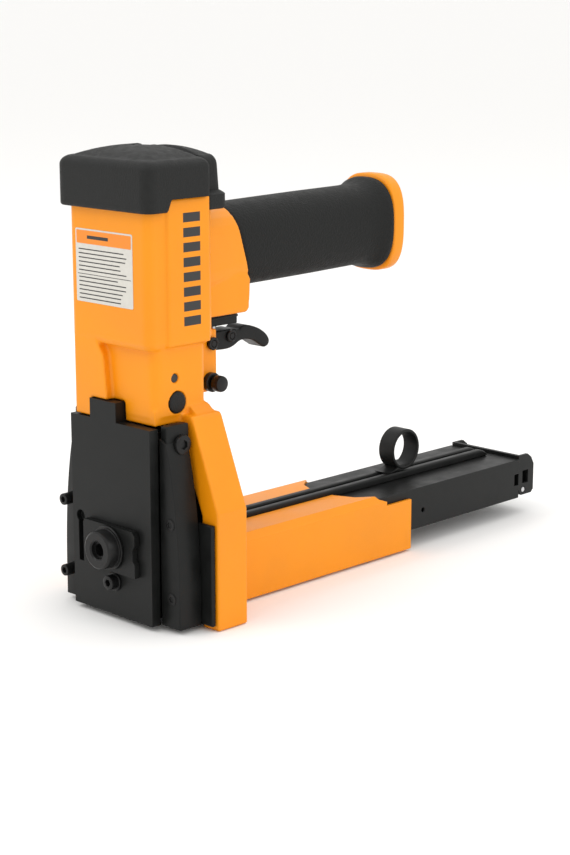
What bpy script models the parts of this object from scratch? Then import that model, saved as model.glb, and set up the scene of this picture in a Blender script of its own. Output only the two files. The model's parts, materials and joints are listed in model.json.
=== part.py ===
"""Pneumatic carton stapler: body casting with handle, clinch nose, staple magazine and trigger.

Metres, +Z up. The nose points to -Y and the magazine runs to +Y. The frame's feet stand at Z = 0.
Lengths are written in millimetres times MM. Y is counted from the front plate's face and the
whole tool is then moved by an empty, so that the origin is the centre of the tool's base.
"""

import math

import bmesh
import bpy
from mathutils import Matrix, Vector

MM = 0.001

# Clearances
GAP = 0.3 * MM
RUNNING_GAP = 0.4 * MM

# Body casting
BODY_HALF_WIDTH = 30.0 * MM
BODY_FRONT_Y = 1.2 * MM
BODY_REAR_Y = 46.0 * MM
BODY_TOP_Z = 216.0 * MM
BODY_STEP_Z = 142.0 * MM
BODY_CORNER = 4.5 * MM
CYLINDER_Y = 25.0 * MM
LOWER_HALF_WIDTH = 28.0 * MM
LOWER_FRONT_Y = 6.0 * MM
LOWER_REAR_Y = 41.0 * MM
LOWER_BOTTOM_Z = 107.9 * MM
CHIN_BOTTOM_Z = 103.8 * MM
PANEL_PROUD = 1.4 * MM
PANEL_FRONT_Y = 13.0 * MM
PANEL_REAR_Y = 41.0 * MM

# Cylinder, piston and driver
LINER_RADIUS = 20.0 * MM
LINER_WALL = 2.0 * MM
LINER_BOTTOM_Z = 148.0 * MM
LINER_TOP_Z = 212.0 * MM
BUMPER_HEIGHT = 8.0 * MM
STROKE = 36.0 * MM
PISTON_HEIGHT = 9.0 * MM
ROD_RADIUS = 5.0 * MM
BLADE_WIDTH = 34.0 * MM
BLADE_THICKNESS = 1.8 * MM
BLADE_TOP_Z = 147.0 * MM
BLADE_BOTTOM_Z = 40.0 * MM

# Cap
CAP_HALF_WIDTH = 34.5 * MM
CAP_FRONT_Y = -2.5 * MM
CAP_REAR_Y = 39.0 * MM
CAP_BOTTOM_Z = 209.5 * MM
CAP_EDGE_Z = 233.0 * MM
CAP_TOP_Z = 240.0 * MM
CAP_CORNER = 6.0 * MM
DEFLECTOR_REAR_Y = 53.5 * MM
DEFLECTOR_HALF_WIDTH = 31.5 * MM

# Handle
HANDLE_Z = 185.0 * MM
HANDLE_HALF_HEIGHT = 22.0 * MM
HANDLE_HALF_WIDTH = 18.5 * MM
HANDLE_TILT = math.radians(1.2)
GRIP_WALL = 4.0 * MM
NECK_REAR_Y = 76.0 * MM
GRIP_REAR_Y = 190.0 * MM
FLANGE_THICKNESS = 9.0 * MM
FLANGE_HALF_WIDTH = 21.0 * MM
FLANGE_HALF_HEIGHT = 27.0 * MM
AIR_BORE = 9.0 * MM
BOSS_REAR_Y = 79.0 * MM
BOSS_HALF_WIDTH = 20.0 * MM
BOSS_BOTTOM_Z = 152.0 * MM
BOSS_TOP_Z = 172.0 * MM

# Trigger
TRIGGER_Y = 78.6 * MM
TRIGGER_Z = 137.7 * MM
TRIGGER_PIVOT_Y = 55.4 * MM
TRIGGER_PIVOT_Z = 138.0 * MM
PIVOT_RADIUS = 2.0 * MM
TRIGGER_THICKNESS = 12.0 * MM
VALVE_Y = 71.5 * MM
VALVE_RADIUS = 5.0 * MM
VALVE_BLOCK_BOTTOM_Z = 144.2 * MM
STEM_RADIUS = 1.8 * MM

# Nose
FEET_HALF_WIDTH = 54.0 * MM
LEG_FRONT_Y = 23.5 * MM
LEG_REAR_Y = 43.5 * MM
LEG_WIDTH = 12.0 * MM
LEG_KNEE_Z = 61.0 * MM
LEG_TOP_Z = 107.6 * MM
LEG_TOP_HALF_WIDTH = 35.0 * MM
WEB_THICKNESS = 8.0 * MM
NOSE_BOTTOM_Z = 2.5 * MM
PLATE_HALF_WIDTH = 30.3 * MM
PLATE_THICKNESS = 5.5 * MM
PLATE_TOP_Z = 103.4 * MM
TAB_LEFT_X = -15.0 * MM
TAB_RIGHT_X = 5.0 * MM
TAB_TOP_Z = 113.5 * MM
TAB_DEPTH = 9.0 * MM
CHEEK_HALF_WIDTH = 44.4 * MM
CHEEK_TOP_HALF_WIDTH = 35.5 * MM
CHEEK_FRONT_Y = 6.0 * MM
CHEEK_REAR_Y = 21.5 * MM
CHEEK_BAR_REAR_Y = 13.6 * MM
BACK_PLATE_Y = 28.8 * MM
BACK_PLATE_THICKNESS = 3.0 * MM
ANVIL_X = 25.5 * MM
ANVIL_Z = 10.5 * MM
ANVIL_RADIUS = 15.0 * MM
ANVIL_THICKNESS = 4.2 * MM
ANVIL_PIN_RADIUS = 2.4 * MM
KNOB_Z = 39.0 * MM
KNOB_X = 2.0 * MM
KNOB_RADIUS = 10.0 * MM
KNOB_HEIGHT = 8.0 * MM
ADJUSTER_HALF_WIDTH = 19.5 * MM
ADJUSTER_BOTTOM_Z = 26.5 * MM
ADJUSTER_TOP_Z = 50.5 * MM
ADJUSTER_THICKNESS = 3.2 * MM

# Magazine
HOUSING_HALF_WIDTH = 29.6 * MM
HOUSING_FRONT_Y = 43.5 * MM
HOUSING_REAR_Y = 198.5 * MM
HOUSING_BOTTOM_Z = 1.2 * MM
HOUSING_SIDE_Z = 33.0 * MM
HOUSING_TOP_Z = 37.0 * MM
CHANNEL_HALF_WIDTH = 27.2 * MM
CHANNEL_BOTTOM_Z = 10.8 * MM
CHANNEL_TOP_Z = 35.0 * MM
CHANNEL_WALL = 1.5 * MM
CHANNEL_FRONT_Y = 32.4 * MM
CHANNEL_REAR_Y = 302.0 * MM
RAIL_TOP_Z = 39.4 * MM
RAIL_INNER_X = 1.7 * MM
RAIL_OUTER_X = 6.2 * MM
CORE_HALF_WIDTH = 15.5 * MM
CORE_TOP_Z = 26.5 * MM
STAPLE_HALF_WIDTH = 17.5 * MM
STAPLE_WIRE = 1.2 * MM
STAPLE_LEG = 16.0 * MM
RING_Y = 221.0 * MM
RING_RADIUS = 12.0 * MM
RING_WALL = 1.8 * MM
RING_WIDTH = 11.0 * MM
PUSHER_LENGTH = 22.0 * MM
SPRING_RADIUS = 2.2 * MM
SPRING_WIRE = 0.45 * MM
SPRING_TURNS = 14
SPRING_STOP_LENGTH = 8.0 * MM
LATCH_LENGTH = 15.0 * MM

# Rear lock pin and cross pins
LOCK_Y = 54.0 * MM
LOCK_Z = 118.2 * MM
LOCK_RADIUS = 2.6 * MM
RIB_X = 12.0 * MM
RIB_THICKNESS = 4.0 * MM
RIB_REAR_Y = 59.4 * MM

FRONT_REACH = ADJUSTER_THICKNESS + 2 * GAP + KNOB_HEIGHT
CENTRE_Y = (CHANNEL_REAR_Y + GAP + LATCH_LENGTH - FRONT_REACH) / 2

YELLOW = ("yellow_paint", (0.86, 0.33, 0.01), 0.42, 0.0)
BLACK_PLASTIC = ("black_plastic", (0.022, 0.024, 0.022), 0.6, 0.0)
BLACK_STEEL = ("black_steel", (0.03, 0.032, 0.03), 0.42, 0.7)
RUBBER = ("grip_rubber", (0.018, 0.02, 0.018), 0.8, 0.0)
STEEL = ("bright_steel", (0.55, 0.55, 0.56), 0.3, 1.0)
BRASS = ("brass", (0.6, 0.42, 0.16), 0.35, 1.0)
SEAL = ("seal_rubber", (0.03, 0.03, 0.03), 0.7, 0.0)


def clear_scene():
    for old in list(bpy.data.objects):
        bpy.data.objects.remove(old, do_unlink=True)


def new_collection(name):
    collection = bpy.data.collections.new(name)
    bpy.context.scene.collection.children.link(collection)
    return collection


clear_scene()
PARTS = new_collection("carton_stapler")
CUTTERS = new_collection("cutters")
BASE = bpy.data.objects.new("base_centre", None)
BASE.location = (0, -CENTRE_Y, 0)
PARTS.objects.link(BASE)


def material(finish):
    name, colour, roughness, metallic = finish
    found = bpy.data.materials.get(name)
    if found is None:
        found = bpy.data.materials.new(name)
        found.use_nodes = True
        shader = found.node_tree.nodes["Principled BSDF"]
        shader.inputs["Base Color"].default_value = (*colour, 1)
        shader.inputs["Roughness"].default_value = roughness
        shader.inputs["Metallic"].default_value = metallic
    return found


def add_part(name, mesh, finish, smooth=False):
    obj = bpy.data.objects.new(name, mesh)
    obj.parent = BASE
    mesh.materials.clear()
    mesh.materials.append(material(finish))
    if smooth:
        mesh.shade_smooth()
        mesh.set_sharp_from_angle(angle=math.radians(35))
    PARTS.objects.link(obj)
    return obj


def add_cutter(name, mesh):
    obj = bpy.data.objects.new(name, mesh)
    obj.parent = BASE
    obj.hide_render = True
    obj.display_type = "WIRE"
    CUTTERS.objects.link(obj)
    return obj


def finish_mesh(name, bm, matrix=None):
    if matrix is not None:
        bmesh.ops.transform(bm, matrix=matrix, verts=bm.verts)
    bmesh.ops.recalc_face_normals(bm, faces=bm.faces)
    mesh = bpy.data.meshes.new(name)
    bm.to_mesh(mesh)
    bm.free()
    return mesh


def box_mesh(name, x, y, z):
    """A box between the given (low, high) pairs."""
    bm = bmesh.new()
    bmesh.ops.create_cube(bm, size=1)
    size = Vector((x[1] - x[0], y[1] - y[0], z[1] - z[0]))
    middle = Vector((x[0] + x[1], y[0] + y[1], z[0] + z[1])) / 2
    return finish_mesh(name, bm, Matrix.Translation(middle) @ Matrix.Diagonal((*size, 1)))


TURN = {"X": Matrix.Rotation(math.radians(90), 4, "Y"), "Y": Matrix.Rotation(math.radians(90), 4, "X"),
        "Z": Matrix.Identity(4)}


def rod_mesh(name, axis, centre, radius, low, high, sides=24):
    """A cylinder along an axis from low to high; centre gives the other two coordinates."""
    bm = bmesh.new()
    bmesh.ops.create_cone(bm, cap_ends=True, segments=sides, radius1=radius, radius2=radius, depth=high - low)
    middle = (low + high) / 2
    place = {"X": (middle, *centre), "Y": (centre[0], middle, centre[1]), "Z": (*centre, middle)}[axis]
    return finish_mesh(name, bm, Matrix.Translation(place) @ TURN[axis])


PLANES = {
    "X": Matrix(((0, 0, 1, 0), (1, 0, 0, 0), (0, 1, 0, 0), (0, 0, 0, 1))),
    "Y": Matrix(((1, 0, 0, 0), (0, 0, -1, 0), (0, 1, 0, 0), (0, 0, 0, 1))),
    "Z": Matrix.Identity(4),
}


def prism_mesh(name, outline, axis, low, high):
    """A flat outline, drawn as (y, z), (x, z) or (x, y), extruded along the remaining axis."""
    curve = bpy.data.curves.new(name, "CURVE")
    curve.dimensions = "2D"
    curve.fill_mode = "BOTH"
    curve.extrude = (high - low) / 2
    spline = curve.splines.new("POLY")
    spline.points.add(len(outline) - 1)
    for point, (u, v) in zip(spline.points, outline):
        point.co = (u, v, 0, 1)
    spline.use_cyclic_u = True
    holder = bpy.data.objects.new(name, curve)
    CUTTERS.objects.link(holder)
    graph = bpy.context.evaluated_depsgraph_get()
    mesh = bpy.data.meshes.new_from_object(holder.evaluated_get(graph))
    bpy.data.objects.remove(holder, do_unlink=True)
    bpy.data.curves.remove(curve)
    bm = bmesh.new()
    bm.from_mesh(mesh)
    bmesh.ops.remove_doubles(bm, verts=bm.verts, dist=1e-6)
    shift = {"X": (1, 0, 0), "Y": (0, 1, 0), "Z": (0, 0, 1)}[axis]
    move = Matrix.Translation(Vector(shift) * (low + high) / 2)
    bpy.data.meshes.remove(mesh)
    return finish_mesh(name, bm, move @ PLANES[axis])


def loft_mesh(name, sections):
    """A closed skin through sections with equal numbers of points, capped at both ends."""
    bm = bmesh.new()
    rings = [[bm.verts.new(p) for p in section] for section in sections]
    count = len(rings[0])
    for lower, upper in zip(rings, rings[1:]):
        for i in range(count):
            j = (i + 1) % count
            bm.faces.new((lower[i], lower[j], upper[j], upper[i]))
    bm.faces.new(list(reversed(rings[0])))
    bm.faces.new(rings[-1])
    return finish_mesh(name, bm)


def turned(name, profile, axis, centre, finish, steps=24):
    """A turned piece: (radius, height) points run down the outer side, then up the inner one."""
    bm = bmesh.new()
    verts = [bm.verts.new((r, 0, h)) for r, h in profile]
    for a, b in zip(verts, verts[1:]):
        bm.edges.new((a, b))
    if profile[0][0] > 0:
        bm.edges.new((verts[-1], verts[0]))
    mesh = bpy.data.meshes.new(name)
    bm.to_mesh(mesh)
    bm.free()
    obj = add_part(name, mesh, finish)
    screw = obj.modifiers.new("turn", "SCREW")
    screw.steps = steps
    screw.render_steps = steps
    screw.use_merge_vertices = True
    screw.merge_threshold = 1e-6
    screw.use_smooth_shade = True
    obj.matrix_local = Matrix.Translation(centre) @ TURN[axis]
    return obj


def bevel(obj, width, segments=2, angle=40):
    modifier = obj.modifiers.new("edge", "BEVEL")
    modifier.width = width
    modifier.segments = segments
    modifier.limit_method = "ANGLE"
    modifier.angle_limit = math.radians(angle)
    modifier.use_clamp_overlap = True
    return obj


def boolean(obj, other, operation="DIFFERENCE"):
    modifier = obj.modifiers.new(other.name, "BOOLEAN")
    modifier.operation = operation
    modifier.object = other
    modifier.solver = "EXACT"
    return obj


def cut(obj, *meshes):
    for mesh in meshes:
        boolean(obj, add_cutter(mesh.name, mesh))
    return obj


def join(obj, *meshes):
    for mesh in meshes:
        boolean(obj, add_cutter(mesh.name, mesh), "UNION")
    return obj


def mirrored(name, mesh):
    """The same mesh on the other side of the tool's middle plane."""
    bm = bmesh.new()
    bm.from_mesh(mesh)
    return finish_mesh(name, bm, Matrix.Diagonal((-1, 1, 1, 1)))


def pair(name, mesh, finish, width=0.0):
    """A right piece and its mirrored left one."""
    left = add_part(name + "_left", mirrored(name + "_left", mesh), finish)
    right = add_part(name + "_right", mesh, finish)
    if width:
        for obj in (left, right):
            bevel(obj, width)
    return left, right


def rounded(half_x, y_low, y_high, front_r, rear_r, arc=5):
    """A rectangle with round front and rear corners, as (x, y) points."""
    points = []
    corners = ((half_x, y_low, front_r, -90), (half_x, y_high, rear_r, 0),
               (-half_x, y_high, rear_r, 90), (-half_x, y_low, front_r, 180))
    for x, y, r, start in corners:
        cx = x - math.copysign(r, x)
        cy = y + r if y == y_low else y - r
        for i in range(arc + 1):
            t = math.radians(start + 90 * i / arc)
            points.append((cx + r * math.cos(t), cy + r * math.sin(t)))
    return points


def oval(half_x, half_z, radius, arc=5):
    """An upright section with round corners, as (x, z) points."""
    points = []
    for sx, sz, start in ((1, -1, -90), (1, 1, 0), (-1, 1, 90), (-1, -1, 180)):
        for i in range(arc + 1):
            t = math.radians(start + 90 * i / arc)
            points.append((sx * (half_x - radius) + radius * math.cos(t),
                           sz * (half_z - radius) + radius * math.sin(t)))
    return points


def handle_section(half_x, half_z, radius, y, slant=0.0):
    """The handle's section at a distance y, on its tilted centre line; slant leans it in Y with height."""
    centre_z = HANDLE_Z + (y - NECK_REAR_Y) * math.tan(HANDLE_TILT)
    return [(x, y - slant * z, centre_z + z) for x, z in oval(half_x, half_z, radius)]


def disc_head(name, axis, centre, radius, low, high, socket, finish, into):
    """A screw head with a six-sided socket; into is the side (-1 or 1) that the socket faces."""
    head = add_part(name, rod_mesh(name, axis, centre, radius, low, high), finish, True)
    depth = (high - low) * 0.6
    start, end = (low - 1 * MM, low + depth) if into < 0 else (high - depth, high + 1 * MM)
    return cut(head, rod_mesh(name + "_socket", axis, centre, socket, start, end, 6))


def body_casting():
    low_z = BODY_STEP_Z
    sections = []
    for z, inset in ((low_z, 1.5 * MM), (low_z + 3 * MM, 0), (BODY_TOP_Z, 0)):
        ring = rounded(BODY_HALF_WIDTH - inset, BODY_FRONT_Y + inset, BODY_REAR_Y - inset, BODY_CORNER,
                       6 * MM)
        sections.append([(x, y, z) for x, y in ring])
    body = add_part("body_casting", loft_mesh("body_casting", sections), YELLOW, True)
    lower = rounded(LOWER_HALF_WIDTH, LOWER_FRONT_Y, LOWER_REAR_Y, 5 * MM, 4 * MM)
    lower_sections = [[(x, y, z) for x, y in lower] for z in (LOWER_BOTTOM_Z, low_z + 5 * MM)]
    join(body, loft_mesh("lower_body", lower_sections))
    skirt_half = LOWER_HALF_WIDTH - 0.6 * MM
    join(body, box_mesh("front_skirt", (-skirt_half, skirt_half),
                        (LOWER_FRONT_Y + 0.3 * MM, LEG_FRONT_Y - GAP),
                        (CHIN_BOTTOM_Z, LOWER_BOTTOM_Z + 4 * MM)))
    chin = [(-12.5 * MM, low_z + 4 * MM), (-LOWER_HALF_WIDTH + 0.5 * MM, low_z + 4 * MM),
            (-LOWER_HALF_WIDTH + 0.5 * MM, CHIN_BOTTOM_Z), (-2 * MM, CHIN_BOTTOM_Z),
            (-5.5 * MM, low_z - 6 * MM)]
    join(body, prism_mesh("front_rib", chin, "Y", BODY_FRONT_Y + 0.2 * MM, LOWER_FRONT_Y + 3 * MM))
    for side in (-1, 1):
        x = sorted((side * (BODY_HALF_WIDTH - 3 * MM), side * (BODY_HALF_WIDTH + PANEL_PROUD)))
        join(body, box_mesh("side_panel", x, (PANEL_FRONT_Y, PANEL_REAR_Y),
                            (low_z + 1 * MM, BODY_TOP_Z - 0.5 * MM)))
        rib = sorted((side * RIB_X, side * (RIB_X + RIB_THICKNESS)))
        join(body, box_mesh("rear_rib", rib, (LOWER_REAR_Y - 3 * MM, RIB_REAR_Y), (113 * MM, low_z + 3 * MM)))
    neck_start = BODY_REAR_Y - 8 * MM
    neck = [handle_section(HANDLE_HALF_WIDTH + 5 * MM, HANDLE_HALF_HEIGHT + 1.5 * MM, 13 * MM, neck_start,
                           0.0),
            handle_section(HANDLE_HALF_WIDTH + 1 * MM, HANDLE_HALF_HEIGHT + 0.6 * MM, 15 * MM, NECK_REAR_Y,
                           0.30)]
    join(body, loft_mesh("neck", neck))
    boss = [(BODY_REAR_Y - 6 * MM, BOSS_BOTTOM_Z), (BOSS_REAR_Y - 2 * MM, BOSS_BOTTOM_Z),
            (BOSS_REAR_Y, BOSS_BOTTOM_Z + 2 * MM), (BOSS_REAR_Y + 1 * MM, BOSS_TOP_Z - 3 * MM),
            (BOSS_REAR_Y - 1 * MM, BOSS_TOP_Z), (BODY_REAR_Y - 6 * MM, BOSS_TOP_Z)]
    join(body, prism_mesh("valve_boss", boss, "X", -BOSS_HALF_WIDTH, BOSS_HALF_WIDTH))
    core_x = HANDLE_HALF_WIDTH - GRIP_WALL
    core_z = HANDLE_HALF_HEIGHT - GRIP_WALL
    core = [handle_section(core_x, core_z, 11 * MM, y) for y in (BODY_REAR_Y, GRIP_REAR_Y)]
    join(body, loft_mesh("handle_core", core))
    bore_z = HANDLE_Z + (GRIP_REAR_Y - NECK_REAR_Y) * math.tan(HANDLE_TILT)
    cut(
        body,
        rod_mesh("liner_bore", "Z", (0, CYLINDER_Y), LINER_RADIUS + GAP, LINER_BOTTOM_Z - GAP,
                 BODY_TOP_Z + 1 * MM, 32),
        rod_mesh("rod_bore", "Z", (0, CYLINDER_Y), ROD_RADIUS + RUNNING_GAP, BLADE_TOP_Z - STROKE,
                 LINER_BOTTOM_Z + 1 * MM),
        box_mesh("blade_slot", (-BLADE_WIDTH / 2 - RUNNING_GAP, BLADE_WIDTH / 2 + RUNNING_GAP),
                 (CYLINDER_Y - BLADE_THICKNESS / 2 - RUNNING_GAP,
                  CYLINDER_Y + BLADE_THICKNESS / 2 + RUNNING_GAP),
                 (CHIN_BOTTOM_Z - 1 * MM, BLADE_TOP_Z + 1.5 * MM)),
        rod_mesh("air_passage", "Y", (0, bore_z - 1 * MM), AIR_BORE, CYLINDER_Y + LINER_RADIUS - 3 * MM,
                 GRIP_REAR_Y + 1 * MM),
        box_mesh("tab_room", (TAB_LEFT_X - GAP, TAB_RIGHT_X + GAP),
                 (BODY_FRONT_Y - 2 * MM, TAB_DEPTH + GAP), (CHIN_BOTTOM_Z - 1 * MM, TAB_TOP_Z + GAP)),
        rod_mesh("valve_bore", "Z", (0, VALVE_Y), VALVE_RADIUS + GAP, BOSS_BOTTOM_Z - 1 * MM,
                 BOSS_BOTTOM_Z + 12 * MM),
        rod_mesh("lock_bore", "X", (LOCK_Y, LOCK_Z), LOCK_RADIUS + GAP, -RIB_X - 10 * MM, RIB_X + 10 * MM,
                 20),
        rod_mesh("pivot_bore", "X", (TRIGGER_PIVOT_Y, TRIGGER_PIVOT_Z), PIVOT_RADIUS + GAP, -20 * MM,
                 20 * MM, 16),
    )
    for side in (-1, 1):
        ends = sorted((side * (LOWER_HALF_WIDTH - 3 * MM), side * (LOWER_HALF_WIDTH + 1 * MM)))
        cut(body, rod_mesh("plug_bore", "X", (21 * MM, 114.2 * MM), 5.4 * MM + GAP, *ends),
            rod_mesh("side_hole", "X", (19.6 * MM, 126.6 * MM), 2.4 * MM, *ends, 16))
    return body


def side_plugs():
    for side, word in ((-1, "left"), (1, "right")):
        ends = sorted((side * (LOWER_HALF_WIDTH - 3 * MM + GAP), side * (LOWER_HALF_WIDTH + 0.2 * MM)))
        plug = add_part("side_plug_" + word, rod_mesh("side_plug", "X", (21 * MM, 114.2 * MM), 5.4 * MM,
                                                      *ends), BLACK_PLASTIC, True)
        bevel(plug, 0.3 * MM, 1)


def cap_profile(half_x, y_low, y_high, front_r, rear_r, lift=0.0):
    levels = ((CAP_BOTTOM_Z, 0.8), (CAP_BOTTOM_Z + 1.2 * MM, 0.0), (CAP_EDGE_Z - 8 * MM, 0.4),
              (CAP_EDGE_Z - 2 * MM, 1.2),
              (CAP_EDGE_Z + 1 * MM, 3.0), (CAP_EDGE_Z + 3.5 * MM, 7.0), (CAP_TOP_Z, 12.5))
    rings = []
    for z, inset in levels:
        inset *= MM
        ring = rounded(half_x - inset, y_low + inset, y_high - min(inset, 1 * MM),
                       max(front_r - inset / 2, 4 * MM), rear_r)
        rings.append([(x, y, z - lift) for x, y in ring])
    return rings


def top_cap():
    cap = add_part("top_cap", loft_mesh("top_cap", cap_profile(CAP_HALF_WIDTH, CAP_FRONT_Y, CAP_REAR_Y,
                                                               CAP_CORNER, 2 * MM)),
                   BLACK_PLASTIC, True)
    pocket = rounded(BODY_HALF_WIDTH + GAP, BODY_FRONT_Y - GAP, CAP_REAR_Y + 5 * MM, BODY_CORNER, 2 * MM)
    cut(cap, loft_mesh("body_pocket",
                       [[(x, y, z) for x, y in pocket] for z in (CAP_BOTTOM_Z - 5 * MM, BODY_TOP_Z + GAP)]))
    for side in (-1, 1):
        x = sorted((side * (BODY_HALF_WIDTH - 1 * MM), side * (CAP_HALF_WIDTH + 1 * MM)))
        cut(cap, box_mesh("side_notch", x, (PANEL_FRONT_Y - GAP, CAP_REAR_Y + 5 * MM),
                          (CAP_BOTTOM_Z - 5 * MM, BODY_TOP_Z)))
    cut(cap, rod_mesh("cap_screw_hole", "Z", (0, CYLINDER_Y), 5 * MM, CAP_TOP_Z - 4 * MM, CAP_TOP_Z + 2 * MM))
    valve_room = BODY_TOP_Z + 12 * MM
    cut(cap, rod_mesh("head_valve_room", "Z", (0, 20 * MM), 16 * MM + GAP, BODY_TOP_Z - 1 * MM, valve_room,
                      32))
    disc_head("cap_screw", "Z", (0, CYLINDER_Y), 4.4 * MM, CAP_TOP_Z - 4 * MM + GAP, CAP_TOP_Z - 0.8 * MM,
              2.2 * MM, BLACK_STEEL, 1)
    turned("head_valve", [(0, 9 * MM), (14 * MM, 9 * MM), (15.6 * MM, 7 * MM), (15.6 * MM, 0.4 * MM),
                          (0, 0.4 * MM)], "Z",
           (0, 20 * MM, BODY_TOP_Z + 1 * MM), SEAL, 28)
    rings = cap_profile(DEFLECTOR_HALF_WIDTH, CAP_REAR_Y + GAP, DEFLECTOR_REAR_Y, 1.5 * MM, 9 * MM, 1.2 * MM)
    for ring in rings:
        for i, (x, y, z) in enumerate(ring):
            ring[i] = (x, y - (z - CAP_BOTTOM_Z) * 0.09, z) if y > DEFLECTOR_REAR_Y - 10 * MM else (x, y, z)
    deflector = add_part("exhaust_deflector", loft_mesh("exhaust_deflector", rings), BLACK_PLASTIC, True)
    room = (-BODY_HALF_WIDTH - PANEL_PROUD - 1 * MM, BODY_HALF_WIDTH + PANEL_PROUD + 1 * MM)
    cut(deflector, box_mesh("deflector_step", room, (CAP_REAR_Y - 5 * MM, BODY_REAR_Y + GAP),
                            (CAP_BOTTOM_Z - 5 * MM, BODY_TOP_Z + GAP)))
    cut(deflector, box_mesh("exhaust_slot", (-16 * MM, 16 * MM),
                            (BODY_REAR_Y + 1 * MM, DEFLECTOR_REAR_Y + 5 * MM),
                            (CAP_BOTTOM_Z + 11 * MM, CAP_BOTTOM_Z + 16 * MM)))


def cylinder_parts():
    inner = LINER_RADIUS - LINER_WALL
    tall = LINER_TOP_Z - LINER_BOTTOM_Z
    turned("cylinder_liner", [(LINER_RADIUS, tall), (LINER_RADIUS, 0), (inner, 0), (inner, tall)], "Z",
           (0, CYLINDER_Y, LINER_BOTTOM_Z), STEEL, 32)
    turned("piston_bumper", [(inner - GAP, BUMPER_HEIGHT - 1 * MM), (inner - GAP, 0),
                             (ROD_RADIUS + RUNNING_GAP, 0),
                             (ROD_RADIUS + RUNNING_GAP, BUMPER_HEIGHT), (inner - 3 * MM, BUMPER_HEIGHT)], "Z",
           (0, CYLINDER_Y, LINER_BOTTOM_Z + GAP), SEAL, 28)
    face = LINER_BOTTOM_Z + GAP + BUMPER_HEIGHT + STROKE + 0.5 * MM
    radius = inner - RUNNING_GAP
    groove = radius - 2.4 * MM
    turned("piston", [(0, PISTON_HEIGHT), (radius, PISTON_HEIGHT), (radius, 6.5 * MM), (groove, 6.5 * MM),
                      (groove, 3 * MM),
                      (radius, 3 * MM), (radius, 0), (ROD_RADIUS, 0), (ROD_RADIUS, BLADE_TOP_Z + GAP - face),
                      (0, BLADE_TOP_Z + GAP - face)], "Z", (0, CYLINDER_Y, face), STEEL, 28)
    turned("piston_seal", [(radius - 0.1 * MM, 6.1 * MM), (radius - 0.1 * MM, 3.4 * MM),
                           (groove + GAP, 3.4 * MM),
                           (groove + GAP, 6.1 * MM)], "Z", (0, CYLINDER_Y, face), SEAL, 28)
    half = BLADE_WIDTH / 2
    add_part("driver_blade", box_mesh("driver_blade", (-half, half),
                                      (CYLINDER_Y - BLADE_THICKNESS / 2, CYLINDER_Y + BLADE_THICKNESS / 2),
                                      (BLADE_BOTTOM_Z, BLADE_TOP_Z)), STEEL)


def handle_parts():
    start = NECK_REAR_Y + GAP
    levels = ((start, 0.6, 0.30), (start + 3 * MM, 0.0, 0.24), (start + 30 * MM, 0.0, 0.0),
              (GRIP_REAR_Y - 12 * MM, 0.0, 0.0),
              (GRIP_REAR_Y - 5 * MM, -1.5, 0.0), (GRIP_REAR_Y - GAP, -3.5, 0.0))
    rings = []
    for y, inset, slant in levels:
        rings.append(handle_section(HANDLE_HALF_WIDTH - inset * MM, HANDLE_HALF_HEIGHT - inset * MM,
                                    16 * MM, y, slant))
    grip = add_part("grip_sleeve", loft_mesh("grip_sleeve", rings), RUBBER, True)
    hollow = [handle_section(HANDLE_HALF_WIDTH - GRIP_WALL + GAP, HANDLE_HALF_HEIGHT - GRIP_WALL + GAP,
                             11 * MM + GAP, y)
              for y in (BODY_REAR_Y, GRIP_REAR_Y + 5 * MM)]
    cut(grip, loft_mesh("grip_hollow", hollow))
    boss_top = [(BODY_REAR_Y, BOSS_BOTTOM_Z - 2 * MM), (BOSS_REAR_Y + 1 * MM + GAP, BOSS_BOTTOM_Z - 2 * MM),
                (BOSS_REAR_Y + 1 * MM + GAP, BOSS_TOP_Z + GAP), (BODY_REAR_Y, BOSS_TOP_Z + GAP)]
    cut(grip, prism_mesh("boss_room", boss_top, "X", -BOSS_HALF_WIDTH - GAP, BOSS_HALF_WIDTH + GAP))
    end = GRIP_REAR_Y + GAP
    rings = []
    for depth, inset in ((0, 1.6), (1.2 * MM, 0.3), (3 * MM, 0.0), (FLANGE_THICKNESS - 2 * MM, 0.0),
                         (FLANGE_THICKNESS - 0.6 * MM, 0.6), (FLANGE_THICKNESS, 2.0)):
        rings.append(handle_section(FLANGE_HALF_WIDTH - inset * MM, FLANGE_HALF_HEIGHT - inset * MM,
                                    17 * MM, end + depth))
    flange = add_part("handle_end_cap", loft_mesh("handle_end_cap", rings), YELLOW, True)
    inlet_z = HANDLE_Z + (end + FLANGE_THICKNESS - NECK_REAR_Y) * math.tan(HANDLE_TILT)
    cut(flange, rod_mesh("inlet_hole", "Y", (0, inlet_z), 9 * MM + GAP, end - 1 * MM,
                         end + FLANGE_THICKNESS + 1 * MM))
    turned("air_inlet_bush", [(6.2 * MM, 0), (9 * MM, 0), (9 * MM, -FLANGE_THICKNESS + 0.5 * MM),
                              (6.2 * MM, -FLANGE_THICKNESS + 0.5 * MM)],
           "Y", (0, end + 0.1 * MM, inlet_z), BRASS, 24)
    for i, sz in enumerate((-1, 1)):
        place = (0, inlet_z + sz * 19 * MM)
        cut(flange, rod_mesh("end_screw_hole", "Y", place, 2.6 * MM + GAP, end + 4 * MM,
                             end + FLANGE_THICKNESS + 1 * MM, 16))
        disc_head("end_screw_%d" % (i + 1), "Y", place, 2.6 * MM, end + 4 * MM + GAP,
                  end + FLANGE_THICKNESS - 0.4 * MM, 1.3 * MM,
                  BLACK_STEEL, 1)


def arc_points(centre, radius, start, end, count):
    step = (end - start) / count
    return [(centre[0] + radius * math.cos(math.radians(start + step * i)),
             centre[1] + radius * math.sin(math.radians(start + step * i))) for i in range(count + 1)]


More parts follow.
